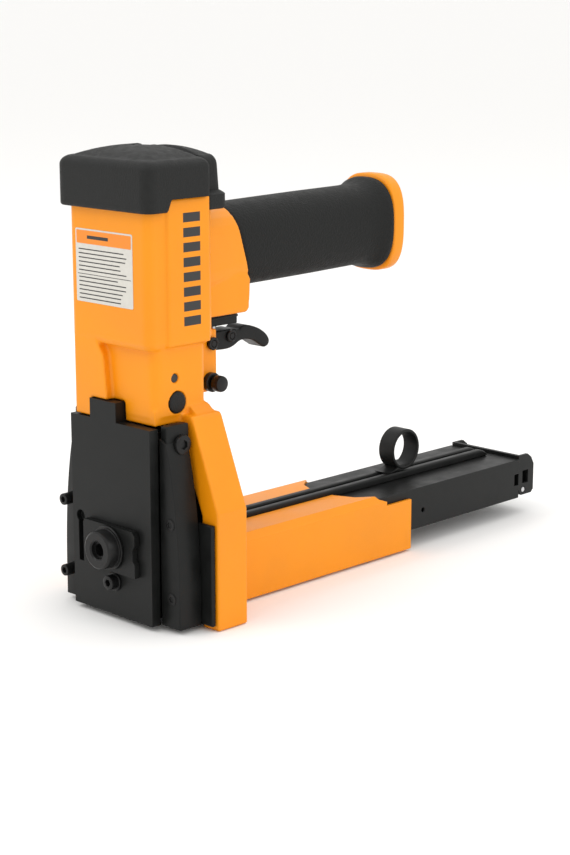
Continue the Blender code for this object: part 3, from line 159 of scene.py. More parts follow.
def placed(points, axis, centre):
    """Turns points made round +Z so that +Z lies along an axis such as "-Y", then moves them to centre."""
    x, y, z = points[..., 0], points[..., 1], points[..., 2]
    turned = {"Z": (x, y, z), "-Z": (x, -y, -z), "Y": (x, z, -y), "-Y": (x, -z, y), "X": (z, y, -x),
              "-X": (-z, y, x)}
    return np.stack(turned[axis], axis=-1) + np.array(centre, float)


def corner_arcs(points, radii, steps=6):
    """An outline whose corners are replaced by arcs: each arc is tangent to the two sides of its corner."""
    points = np.asarray(points, float)
    radii = np.broadcast_to(radii, len(points))
    pieces = []
    for i, radius in enumerate(radii):
        here = points[i]
        back = points[i - 1] - here
        ahead = points[(i + 1) % len(points)] - here
        back_len, ahead_len = np.linalg.norm(back), np.linalg.norm(ahead)
        back, ahead = back / back_len, ahead / ahead_len
        half = math.acos(np.clip(back @ ahead, -1, 1)) / 2
        if radius <= 0 or half > 1.55:
            pieces.append(here[None])
            continue
        reach = min(radius / math.tan(half), back_len * 0.49, ahead_len * 0.49)
        t = np.linspace(0, 1, steps + 1)[:, None]
        start, end = here + back * reach, here + ahead * reach
        pieces.append((1 - t) ** 2 * start + 2 * t * (1 - t) * here + t ** 2 * end)
    return np.concatenate(pieces)


def spaced(outline, count):
    """The same closed outline with its points spaced evenly along it."""
    closed = np.concatenate([outline, outline[:1]])
    run = np.concatenate([[0], np.cumsum(np.linalg.norm(np.diff(closed, axis=0), axis=1))])
    at = np.linspace(0, run[-1], count, endpoint=False)
    return np.column_stack([np.interp(at, run, closed[:, 0]), np.interp(at, run, closed[:, 1])])


def flowing_outline(points, steps=6):
    """A closed Catmull-Rom curve through the points, steps samples between each two."""
    p = np.asarray(points, float)
    t = np.linspace(0, 1, steps, endpoint=False)[None, :, None]
    p0, p1, p2, p3 = (np.roll(p, k, axis=0)[:, None, :] for k in (1, 0, -1, -2))
    square_term = (2 * p0 - 5 * p1 + 4 * p2 - p3) * t ** 2
    cube_term = (3 * p1 - p0 - 3 * p2 + p3) * t ** 3
    curve = 0.5 * (2 * p1 + (p2 - p0) * t + square_term + cube_term)
    return curve.reshape(-1, 2)


def inset(outline, distance):
    """The outline moved inwards by a distance along the mean normal of each point's two sides."""
    ahead = np.roll(outline, -1, axis=0) - outline
    ahead /= np.linalg.norm(ahead, axis=1, keepdims=True)
    back = np.roll(ahead, 1, axis=0)
    mean = ahead + back
    mean /= np.maximum(np.linalg.norm(mean, axis=1, keepdims=True), 1e-9)
    normal = np.stack([-mean[:, 1], mean[:, 0]], axis=1)
    area = np.sum(outline[:, 0] * np.roll(outline[:, 1], -1) - np.roll(outline[:, 0], -1) * outline[:, 1])
    return outline + normal * distance * np.sign(area)


def rounded_plate(name, outline, axis, low, high, radius, steps=3, smooth_angle=32):
    """A flat outline given thickness, its two rims rounded: the inset is radius times 1 - sin(t), the depth
    radius times 1 - cos(t). The outline is (y, z) for axis X, (x, z) for Y and (x, y) for Z."""
    t = np.linspace(0, math.pi / 2, steps + 1)
    depths = radius * (1 - np.cos(t))
    insets = radius * (1 - np.sin(t))
    levels = [(low + d, s) for d, s in zip(depths, insets)] + [(high - d, s) for d,
                                                               s in zip(depths[::-1], insets[::-1])]
    rings = []
    for depth, step in levels:
        flat = inset(outline, step)
        u, v, w = flat[:, 0], flat[:, 1], np.full(len(flat), depth)
        rings.append(np.stack({"X": (w, u, v), "Y": (u, w, v), "Z": (u, v, w)}[axis], axis=1))
    return tube_surface(name, np.array(rings), smooth_angle=smooth_angle)


def revolved(name, profile, axis, centre, segments=72, closed=False):
    """A profile of (radius, height) points turned about an axis; a closed profile gives a ring."""
    profile = np.asarray(profile, float)
    t = np.linspace(0, 2 * math.pi, segments, endpoint=False)
    r, h = profile[:, 0, None], profile[:, 1, None]
    rings = np.stack([r * np.cos(t), r * np.sin(t), h * np.ones_like(t)], axis=-1)
    return tube_surface(name, placed(rings, axis, centre), caps=False, wrap=closed)


def socket_screw(name, axis, centre, radius, length, socket, knurl=0.0):
    """A cap screw's head: a drum with a rounded rim and a six-sided socket. The socket's wall stands at
    socket * cos(30) / cos(angle within its side - 30), and the drum's side may carry fine knurling."""
    t = np.linspace(0, 2 * math.pi, 144, endpoint=False)
    hexagon = socket * math.cos(math.pi / 6) / np.cos(np.mod(t, math.pi / 3) - math.pi / 6)
    side = radius * (1 - knurl * (0.5 + 0.5 * np.cos(36 * t)))
    plain = np.full_like(t, radius)
    chamfer = 0.12 * radius
    rows = [(plain * 0, 0), (plain * 0.97, 0), (side, 0.04 * length), (side, length - 1.6 * chamfer),
            (plain * 0.98, length - chamfer),
            (plain - 0.35 * chamfer, length - 0.3 * chamfer), (plain - chamfer, length),
            (hexagon * 1.1, length),
            (hexagon, length - 0.1 * radius), (hexagon, length - 0.55 * min(radius, length)),
            (plain * 0, length - 0.6 * min(radius, length))]
    rings = np.array([np.stack([r * np.cos(t), r * np.sin(t), np.full_like(t, h)], axis=-1) for r, h in rows])
    return tube_surface(name, placed(rings, axis, centre), caps=False)


def node_mesh(*names):
    """A bmesh holding welded copies of CAD nodes."""
    bm = bmesh.new()
    for name in names:
        bm.from_mesh(frame["nodes"][name].data)
    bmesh.ops.remove_doubles(bm, verts=bm.verts, dist=1e-6)
    return bm


def applied(obj):
    """The object with its modifiers applied to its mesh."""
    graph = bpy.context.evaluated_depsgraph_get()
    mesh = bpy.data.meshes.new_from_object(obj.evaluated_get(graph))
    obj.modifiers.clear()
    old = obj.data
    obj.data = mesh
    bpy.data.meshes.remove(old)
    return obj


def eased_copy(name, node, width, segments=2):
    """A copy of a machined CAD node with its flat faces merged and its edges rounded by a bevel."""
    bm = node_mesh(node)
    bmesh.ops.dissolve_limit(bm, angle_limit=math.radians(1.0), verts=bm.verts, edges=bm.edges)
    obj = new_object(name, bm)
    bevel = obj.modifiers.new("eased_edges", "BEVEL")
    bevel.width = width
    bevel.segments = segments
    bevel.limit_method = "ANGLE"
    bevel.angle_limit = math.radians(42)
    weighted = obj.modifiers.new("flat_faces", "WEIGHTED_NORMAL")
    weighted.weight = 100
    weighted.keep_sharp = True
    return applied(obj)


def settle(obj, body, slot, finish, *nodes):
    """Gives a finished piece its material and its body, and hides the CAD nodes that it stands for."""
    obj.data.materials.clear()
    obj.data.materials.append(finish)
    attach(obj, body)
    if nodes:
        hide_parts(*nodes)
    return obj


# ---------------------------------------------------------------- materials

def shader_of(material):
    return material.node_tree.nodes["Principled BSDF"]


def finish_material(name, colour, roughness, metallic=0.0, spread=0.12, patch=40.0, bumps=(),
                    rough_spread=0.08, coat=0.0,
                    specular=0.5):
    """A procedural finish: patchy colour and roughness from one noise, and relief from finer layers.
    bumps is a list of (kind, scale, height in metres, strength)."""
    material = bpy.data.materials.get(name)
    if material:
        return material
    material = bpy.data.materials.new(name)
    material.use_nodes = True
    nodes, links = material.node_tree.nodes, material.node_tree.links
    shader = shader_of(material)
    shader.inputs["Metallic"].default_value = metallic
    shader.inputs["Coat Weight"].default_value = coat
    shader.inputs["Coat Roughness"].default_value = 0.25
    shader.inputs["Specular IOR Level"].default_value = specular
    place = nodes.new("ShaderNodeTexCoord")
    cloud = nodes.new("ShaderNodeTexNoise")
    cloud.inputs["Scale"].default_value = patch
    cloud.inputs["Detail"].default_value = 6
    links.new(place.outputs["Object"], cloud.inputs["Vector"])
    ramp = nodes.new("ShaderNodeValToRGB")
    dark = [c * (1 - spread) for c in colour]
    light = [min(1, c * (1 + spread)) for c in colour]
    ramp.color_ramp.elements[0].position = 0.3
    ramp.color_ramp.elements[0].color = (*dark, 1)
    ramp.color_ramp.elements[1].position = 0.75
    ramp.color_ramp.elements[1].color = (*light, 1)
    links.new(cloud.outputs["Fac"], ramp.inputs["Fac"])
    links.new(ramp.outputs["Color"], shader.inputs["Base Color"])
    rough = nodes.new("ShaderNodeMapRange")
    rough.inputs["From Min"].default_value = 0.3
    rough.inputs["From Max"].default_value = 0.7
    rough.inputs["To Min"].default_value = max(0.05, roughness - rough_spread)
    rough.inputs["To Max"].default_value = min(1, roughness + rough_spread)
    links.new(cloud.outputs["Fac"], rough.inputs["Value"])
    links.new(rough.outputs["Result"], shader.inputs["Roughness"])
    previous = None
    for kind, scale, height, strength in bumps:
        if kind == "grain":
            relief = nodes.new("ShaderNodeTexNoise")
            relief.inputs["Detail"].default_value = 3
            out = relief.outputs["Fac"]
        else:
            relief = nodes.new("ShaderNodeTexVoronoi")
            relief.feature = "SMOOTH_F1"
            out = relief.outputs["Distance"]
        relief.inputs["Scale"].default_value = scale
        links.new(place.outputs["Object"], relief.inputs["Vector"])
        bump = nodes.new("ShaderNodeBump")
        bump.inputs["Strength"].default_value = strength
        bump.inputs["Distance"].default_value = height
        links.new(out, bump.inputs["Height"])
        if previous:
            links.new(previous.outputs["Normal"], bump.inputs["Normal"])
        previous = bump
    if previous:
        links.new(previous.outputs["Normal"], shader.inputs["Normal"])
    return material


def yellow_paint():
    colour = tuple(finish_settings().yellow)
    return finish_material("yellow_paint_finish", colour, 0.42, spread=0.05, patch=25, specular=0.3,
                           bumps=[("grain", 900, 0.00012, 0.3), ("grain", 160, 0.0003, 0.15)], coat=0.06)


def cap_moulding():
    scale = 1 / finish_settings().grain
    return finish_material("cap_moulding_finish", tuple(finish_settings().moulding), 0.55, spread=0.25,
                           patch=300, specular=0.22,
                           bumps=[("grain", scale, 0.0004, 0.75), ("pebble", scale * 0.8, 0.0002, 0.35)])


def grip_rubber():
    scale = 1 / finish_settings().grain
    return finish_material("grip_rubber_finish", (0.01, 0.0105, 0.01), 0.62, spread=0.3, patch=260,
                           specular=0.2,
                           bumps=[("pebble", scale * 0.75, 0.0004, 0.8), ("grain", scale, 0.0002, 0.4)])


def black_steel():
    return finish_material("black_steel_finish", tuple(finish_settings().black), 0.42, spread=0.2,
                           patch=120, specular=0.2,
                           bumps=[("grain", 1500, 0.0001, 0.35)], rough_spread=0.07)


def dark_screw():
    return finish_material("dark_screw_finish", (0.012, 0.012, 0.012), 0.34, metallic=0.3, spread=0.2,
                           patch=300, specular=0.3,
                           bumps=[("grain", 1800, 0.00006, 0.25)])


def bright_steel():
    return finish_material("bright_steel_finish", (0.56, 0.56, 0.57), 0.28, metallic=1.0, spread=0.1,
                           patch=200,
                           bumps=[("grain", 2200, 0.00004, 0.3)])


def turned_brass():
    return finish_material("turned_brass_finish", (0.62, 0.44, 0.17), 0.3, metallic=1.0, spread=0.1,
                           patch=150,
                           bumps=[("grain", 2000, 0.00004, 0.3)])


def seal_rubber():
    return finish_material("seal_rubber_finish", (0.03, 0.03, 0.03), 0.7, spread=0.2, patch=200,
                           bumps=[("grain", 900, 0.0001, 0.4)])


def label_paper():
    return finish_material("label_paper_finish", (0.62, 0.6, 0.55), 0.45, spread=0.04, patch=400,
                           bumps=[("grain", 2500, 0.00003, 0.2)])


def label_orange():
    return finish_material("label_orange_finish", (0.83, 0.24, 0.01), 0.45, spread=0.04, patch=400,
                           bumps=[("grain", 2500, 0.00003, 0.2)])


def print_ink():
    return finish_material("print_ink_finish", (0.02, 0.02, 0.02), 0.5, spread=0.2, patch=500,
                           bumps=[("grain", 2500, 0.00003, 0.2)])


SLOT_FINISH = {"yellow_paint": yellow_paint, "black_plastic": cap_moulding, "grip_rubber": grip_rubber,
               "seal_rubber": seal_rubber,
               "bright_steel": bright_steel, "brass": turned_brass, "black_steel": black_steel}


# ---------------------------------------------------------------- castings

def shoulder_fillet(bm, side):
    """A wedge on the shoulder where the body's flank runs out into the leg. Its top falls towards the leg."""
    body_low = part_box("nose_frame")[1].z
    y0 = FACE_Y + 28 * MM
    y1 = FACE_Y + 40.8 * MM
    flank, out = side * 27.8 * MM, side * 36.0 * MM
    outline = [(flank - side * 3 * MM, body_low + 4 * MM), (flank + side * 1.0 * MM, body_low + 4 * MM),
               (out, body_low - 1.2 * MM),
               (out, body_low - 3 * MM), (flank - side * 3 * MM, body_low - 3 * MM)]
    front = [bm.verts.new((x, y0, z)) for x, z in outline]
    rear = [bm.verts.new((x, y1, z)) for x, z in outline]
    faces = [bm.faces.new(front), bm.faces.new(rear[::-1])]
    faces += [bm.faces.new((front[i], rear[i], rear[(i + 1) % 5], front[(i + 1) % 5])) for i in range(5)]
    bmesh.ops.recalc_face_normals(bm, faces=faces)


def cast_surface(name, bm, voxel, passes, share):
    """One casting: the joined solids are remeshed on a fine grid and relaxed, which rounds every edge.
    Then the flat parts are thinned to a share of the faces."""
    mesh = bpy.data.meshes.new(name)
    bm.to_mesh(mesh)
    bm.free()
    obj = bpy.data.objects.new(name, mesh)
    bpy.context.scene.collection.objects.link(obj)
    remesh = obj.modifiers.new("grid", "REMESH")
    remesh.mode = "VOXEL"
    remesh.voxel_size = voxel
    remesh.use_smooth_shade = True
    smooth = obj.modifiers.new("relax", "SMOOTH")
    smooth.factor = 0.5
    smooth.iterations = passes
    thin = obj.modifiers.new("thin", "DECIMATE")
    thin.ratio = min(1.0, share)
    applied(obj)
    obj.data.shade_smooth()
    return obj


class STAPLER_OT_casting(Operator):
    """Build the yellow body casting with its legs, rounded like a die casting."""

    bl_idname = "stapler.casting"
    bl_label = "Body casting"

    def execute(self, context):
        bm = node_mesh("body_casting", "nose_frame")
        for side in (-1, 1):
            shoulder_fillet(bm, side)
        obj = cast_surface("tool_casting", bm, shape_settings().casting_voxel, 3, 0.4)
        self.free_bore(obj)
        settle(obj, ROOT, "yellow_paint", yellow_paint(), "body_casting", "nose_frame")
        return {"FINISHED"}

    def free_bore(self, obj):
        """Widens the piston rod's bore, which the relaxing narrows, so that the rod still runs free in it."""
        low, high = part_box("piston")
        middle_y = (low.y + high.y) / 2
        points = np.empty(len(obj.data.vertices) * 3)
        obj.data.vertices.foreach_get("co", points)
        points = points.reshape(-1, 3)
        x, y, z = points.T
        radius = np.hypot(x, y - middle_y)
        bore = (radius < 7 * MM) & (z > 100 * MM) & (z < 151 * MM)
        grow = np.where(bore, 1 + 0.7 * MM / np.maximum(radius, 1 * MM), 1)
        points[:, 0] = x * grow
        points[:, 1] = middle_y + (y - middle_y) * grow
        obj.data.vertices.foreach_set("co", points.ravel())
        obj.data.update()


# ---------------------------------------------------------------- cap

def cap_outline(half_x, y_low, y_high, front_r, rear_r, arc=14):
    """A rectangle in plan with round corners, as (x, y) points."""
    corners = [(-half_x, y_low), (half_x, y_low), (half_x, y_high), (-half_x, y_high)]
    return spaced(corner_arcs(corners, (front_r, front_r, rear_r, rear_r), arc), 320)


def dome_rings(outline, centre, base_z, top_z, crown_fall, rim, wall_top, skirt):
    """Rings of a capped cover. Outside, a crown falls from top_z as crown_fall * share ** 2, out to a rim
    of radius rim, which rounds it into a plumb wall. Inside, the wall goes back up and closes."""
    spread = outline - centre
    rings = []
    for share in (0, 0.03, 0.06, 0.085, 0.1, 0.115, 0.13, 0.145, 0.16, 0.18, 0.21, 0.26, 0.38, 0.5, 0.6,
                  0.7, 0.78):
        rings.append((spread * share, np.full(len(outline), top_z - crown_fall * share ** 2)))
    edge_z = top_z - crown_fall * 0.83 ** 2 - rim
    for t in np.linspace(math.pi / 2, 0, 12):
        rings.append((spread * 0.83 + spread * 0.17 * math.cos(t),
                      np.full(len(outline), edge_z + rim * math.sin(t))))
    for z in np.linspace(edge_z, base_z + 1.2 * MM, 24)[1:]:
        rings.append((spread, np.full(len(outline), z)))
    rings.append((inset(outline, 0.35 * MM) - centre, np.full(len(outline), base_z + 0.35 * MM)))
    rings.append((inset(outline, 1.0 * MM) - centre, np.full(len(outline), base_z)))
    inner = inset(outline, skirt) - centre
    rings.append((inner, np.full(len(outline), base_z)))
    rings.append((inner, np.full(len(outline), wall_top)))
    rings.append((inner * 0.01, np.full(len(outline), wall_top)))
    flat = np.array([np.column_stack([xy + centre, z]) for xy, z in rings])
    return flat


class STAPLER_OT_cap(Operator):
    """Build the textured top cap with its crown, stepped lower edge and screw dimple."""

    bl_idname = "stapler.cap"
    bl_label = "Top cap"

    def execute(self, context):
        low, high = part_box("top_cap")
        body_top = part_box("body_casting")[1].z
        outline = cap_outline(high.x, low.y, high.y, 6.5 * MM, 2.2 * MM)
        screw_low, screw_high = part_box("cap_screw")
        screw_y = (screw_low.y + screw_high.y) / 2
        centre = np.array([0.0, screw_y])
        rings = dome_rings(outline, centre, low.z, high.z, 8.0 * MM, 5.0 * MM, body_top + 0.5 * MM, 4.2 * MM)
        x, y, z = rings[..., 0], rings[..., 1], rings[..., 2]
        flank = np.clip((np.abs(x) - 24 * MM) / (4 * MM), 0, 1)
        behind = np.clip((y - (FACE_Y + 10.5 * MM)) / (3.0 * MM), 0, 1)
        near_rim = np.clip((low.z + 8 * MM - z) / (8 * MM), 0, 1)
        z += 6.0 * MM * flank * behind * behind * (3 - 2 * behind) * near_rim
        reach = np.hypot(x, y - screw_y)
        z -= 2.4 * MM * np.exp(-(reach / (5.2 * MM)) ** 8) * (z > high.z - 4 * MM)
        cap = tube_surface("cap_shell", rings, smooth_angle=50)
        settle(cap, ROOT, "black_plastic", cap_moulding(), "top_cap")
        dlow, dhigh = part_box("exhaust_deflector")
        outline = cap_outline(dhigh.x, dlow.y + 0.4 * MM, dhigh.y, 2.5 * MM, 4.5 * MM, 10)
        centre = np.array([0.0, (dlow.y + dhigh.y) / 2 - 2 * MM])
        rings = dome_rings(outline, centre, dlow.z, dhigh.z - 0.4 * MM, 5.0 * MM, 5.0 * MM,
                           body_top + 1 * MM, 3 * MM)
        lip_z = dlow.z + 8 * MM
        x, y, z = rings[..., 0], rings[..., 1], rings[..., 2]
        x *= 1 - 0.11 * np.clip((z - lip_z) / (0.8 * MM), 0, 1)
        rear = np.clip((y - dlow.y) / (dhigh.y - dlow.y), 0, 1)
        above = np.clip((z - lip_z) / (0.8 * MM), 0, 1)
        y -= rear * (above * 1.1 * MM + np.clip(z - lip_z, 0, 1) * 0.1)
        deflector = tube_surface("deflector_shell", rings, smooth_angle=50)
        settle(deflector, ROOT, "black_plastic", cap_moulding(), "exhaust_deflector")
        slot = rounded_plate("exhaust_mouth",
                             corner_arcs([(-16 * MM, dlow.z + 11 * MM), (16 * MM, dlow.z + 11 * MM),
                             (16 * MM, dlow.z + 15.6 * MM), (-16 * MM, dlow.z + 15.6 * MM)], 2.2 * MM), "Y",
                             dhigh.y - 5 * MM, dhigh.y - 1.9 * MM, 0.3 * MM)
        settle(slot, ROOT, "seal_rubber", seal_rubber())
        return {"FINISHED"}


# ---------------------------------------------------------------- handle

def oval_ring(half_x, half_z, power, y, centre_z, lean, count=96):
    """A superellipse |x/a| ** p + |z/b| ** p = 1, in a plane that leans back by lean times the height."""
    t = np.linspace(0, 2 * math.pi, count, endpoint=False)
    c, s = np.cos(t), np.sin(t)
    x = half_x * np.sign(c) * np.abs(c) ** (2 / power)
    z = half_z * np.sign(s) * np.abs(s) ** (2 / power)
    return np.stack([x, y - lean * z, centre_z + z], axis=-1)


class STAPLER_OT_handle(Operator):
    """Build the rubber grip and the yellow cap on the handle's end."""

    bl_idname = "stapler.handle"
    bl_label = "Handle"

    def execute(self, context):
        grip_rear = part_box("grip_sleeve")[1].y
        cap_low, cap_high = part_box("handle_end_cap")
        rise = math.tan(math.radians(1.2))
        start = FACE_Y + 76.3 * MM
        grip_z = 185 * MM
        grip_half_x, grip_half_z = 18.5 * MM, 22.0 * MM
        rows = []
        stations = ((start + 1.2 * MM, -2.2, 0.30), (start + 0.5 * MM, -0.8, 0.30),
                    (start + 1.2 * MM, -0.1, 0.30),
                    (start + 3 * MM, 0.0, 0.28), (start + 12 * MM, 0.0, 0.16), (start + 30 * MM, 0.15, 0.0),
                    (start + 60 * MM, 0.2, 0.0), (grip_rear - 16 * MM, 0.0, 0.0),
                    (grip_rear - 11 * MM, 0.4, 0.0),
                    (grip_rear - 7 * MM, 1.5, 0.0), (grip_rear - 3.5 * MM, 3.0, 0.0),
                    (grip_rear - 0.9 * MM, 3.4, 0.0),
                    (grip_rear - 0.1 * MM, 2.8, 0.0))
        for y, swell, lean in stations:
            rows.append(oval_ring(grip_half_x + swell * MM, grip_half_z + swell * MM, 2.6, y,
                                  grip_z + (y - start) * rise, lean))
        grip = tube_surface("rubber_grip", np.array(rows), smooth_angle=60)
        settle(grip, ROOT, "grip_rubber", grip_rubber(), "grip_sleeve")
        rows = []
        centre_z = (cap_low.z + cap_high.z) / 2
        half_x, half_z = cap_high.x, (cap_high.z - cap_low.z) / 2
        bore = 9.1 * MM
        ring = oval_ring(half_x, half_z, 3.0, 0, 0, 0)
        for share, depth in ((0, 0), (0.2, 0), (0.9, 0), (0.965, 0.25), (0.99, 0.8), (1.0, 1.8), (1.0, 7.2),
                             (0.993, 8.1), (0.97, 8.75), (0.93, 9.0)):
            rows.append(ring * [share, 1, share] + [0, cap_low.y + depth * MM, centre_z])
        t = np.linspace(0, 2 * math.pi, 96, endpoint=False)
        for radius, depth in ((bore + 0.6 * MM, 9.0), (bore, 8.5), (bore, 1.5), (0.0, 1.5)):
            rows.append(np.stack([radius * np.cos(t), np.full_like(t, cap_low.y + depth * MM),
                                  centre_z + radius * np.sin(t)], axis=-1))
        cap = tube_surface("handle_cap", np.array(rows), caps=False, smooth_angle=50)
        settle(cap, ROOT, "yellow_paint", yellow_paint(), "handle_end_cap")
        bush_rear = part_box("air_inlet_bush")[1].y
        inner, outer = 6.2 * MM, 8.9 * MM
        turns = [(outer, 0), (outer, 6.6 * MM), (outer - 0.4 * MM, 7.2 * MM), (inner + 0.9 * MM, 7.2 * MM),
                 (inner, 6.4 * MM)]
        teeth = [(inner + 0.45 * MM * (k % 2), (6.0 - 0.45 * k) * MM) for k in range(12)]
        bush = revolved("inlet_bush", turns + teeth + [(inner, 0)], "Y",
                        (0, bush_rear - 7.3 * MM, centre_z), closed=True)
        settle(bush, ROOT, "brass", turned_brass(), "air_inlet_bush")
        for node in ("end_screw_1", "end_screw_2"):
            slow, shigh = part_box(node)
            middle = (slow + shigh) / 2
            screw = socket_screw(node + "_head", "Y", (middle.x, slow.y, middle.z), (shigh.x - slow.x) / 2,
                                 shigh.y - slow.y, 1.4 * MM)
            settle(screw, ROOT, "black_steel", dark_screw(), node)
        return {"FINISHED"}


# ---------------------------------------------------------------- trigger

class STAPLER_OT_trigger(Operator):
    """Build the curved trigger lever, its pins and the valve block above it."""

    bl_idname = "stapler.trigger"
    bl_label = "Trigger"

    def execute(self, context):
        low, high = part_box("trigger")
        pivot_low, pivot_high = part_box("trigger_pivot_pin")
        y0 = (pivot_low.y + pivot_high.y) / 2
        z0 = (pivot_low.z + pivot_high.z) / 2
        points = [(-4.2, -2.6), (-1.5, -4.5), (6, -5.6), (14, -6.9), (22, -7.1), (26.5, -6.0), (30.5, -4.1),
                  (35, -3.8), (40, -5.0), (45, -7.9),
                  (48.4, -9.7), (51.4, -8.9), (52.4, -6.2), (50.2, -2.7), (45.5, 0.6), (40, 2.8),
                  (35.2, 3.9), (32.4, 3.6), (30.4, 2.3),
                  (28.2, 2.5), (26, 3.1), (14, 3.1), (3.5, 3.1), (0.0, 4.0), (-3.4, 2.6)]
        outline = flowing_outline(np.array(points) * MM, 5) + [y0, z0]
        lever = rounded_plate("trigger_lever", outline, "X", low.x, high.x, 1.3 * MM, 5, smooth_angle=60)
        settle(lever, "trigger_body", "black_plastic", black_steel(), "trigger")
        for node, body, slot in (("trigger_rocker_pin", "trigger_body", "bright_steel"),
                                 ("trigger_pivot_pin", ROOT, "black_steel")):
            plow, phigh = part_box(node)
            middle = (plow + phigh) / 2
            radius = (phigh.y - plow.y) / 2
            head = 1.4 * MM
            pin = revolved(node + "_turned", [(0, phigh.x), (radius * 0.45, phigh.x),
                                              (radius * 0.55, phigh.x - 0.4 * MM), (radius * 0.62, phigh.x),
                                              (radius - 0.4 * MM, phigh.x), (radius, phigh.x - 0.4 * MM),
                                              (radius, phigh.x - head),
                                              (1.95 * MM, phigh.x - head), (1.95 * MM, plow.x + 0.3 * MM),
                                              (1.6 * MM, plow.x), (0, plow.x)],
                           "X", (0, middle.y, middle.z))
            settle(pin, body, slot, dark_screw(), node)
        block = eased_copy("valve_block", "trigger_valve_block", 0.6 * MM)
        settle(block, ROOT, "black_plastic", black_steel(), "trigger_valve_block")
        blow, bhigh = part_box("trigger_valve_block")
        lip = rounded_plate("valve_lip",
                            corner_arcs([(-7.9 * MM, blow.y - 0.3 * MM), (7.9 * MM, blow.y - 0.3 * MM),
                                         (7.9 * MM, bhigh.y + 0.4 * MM),
                                                      (-7.9 * MM, bhigh.y + 0.4 * MM)], 1.2 * MM), "Z",
                            blow.z + 3.6 * MM, blow.z + 4.8 * MM, 0.3 * MM)
        settle(lip, ROOT, "black_plastic", black_steel())
        return {"FINISHED"}


# ---------------------------------------------------------------- nose

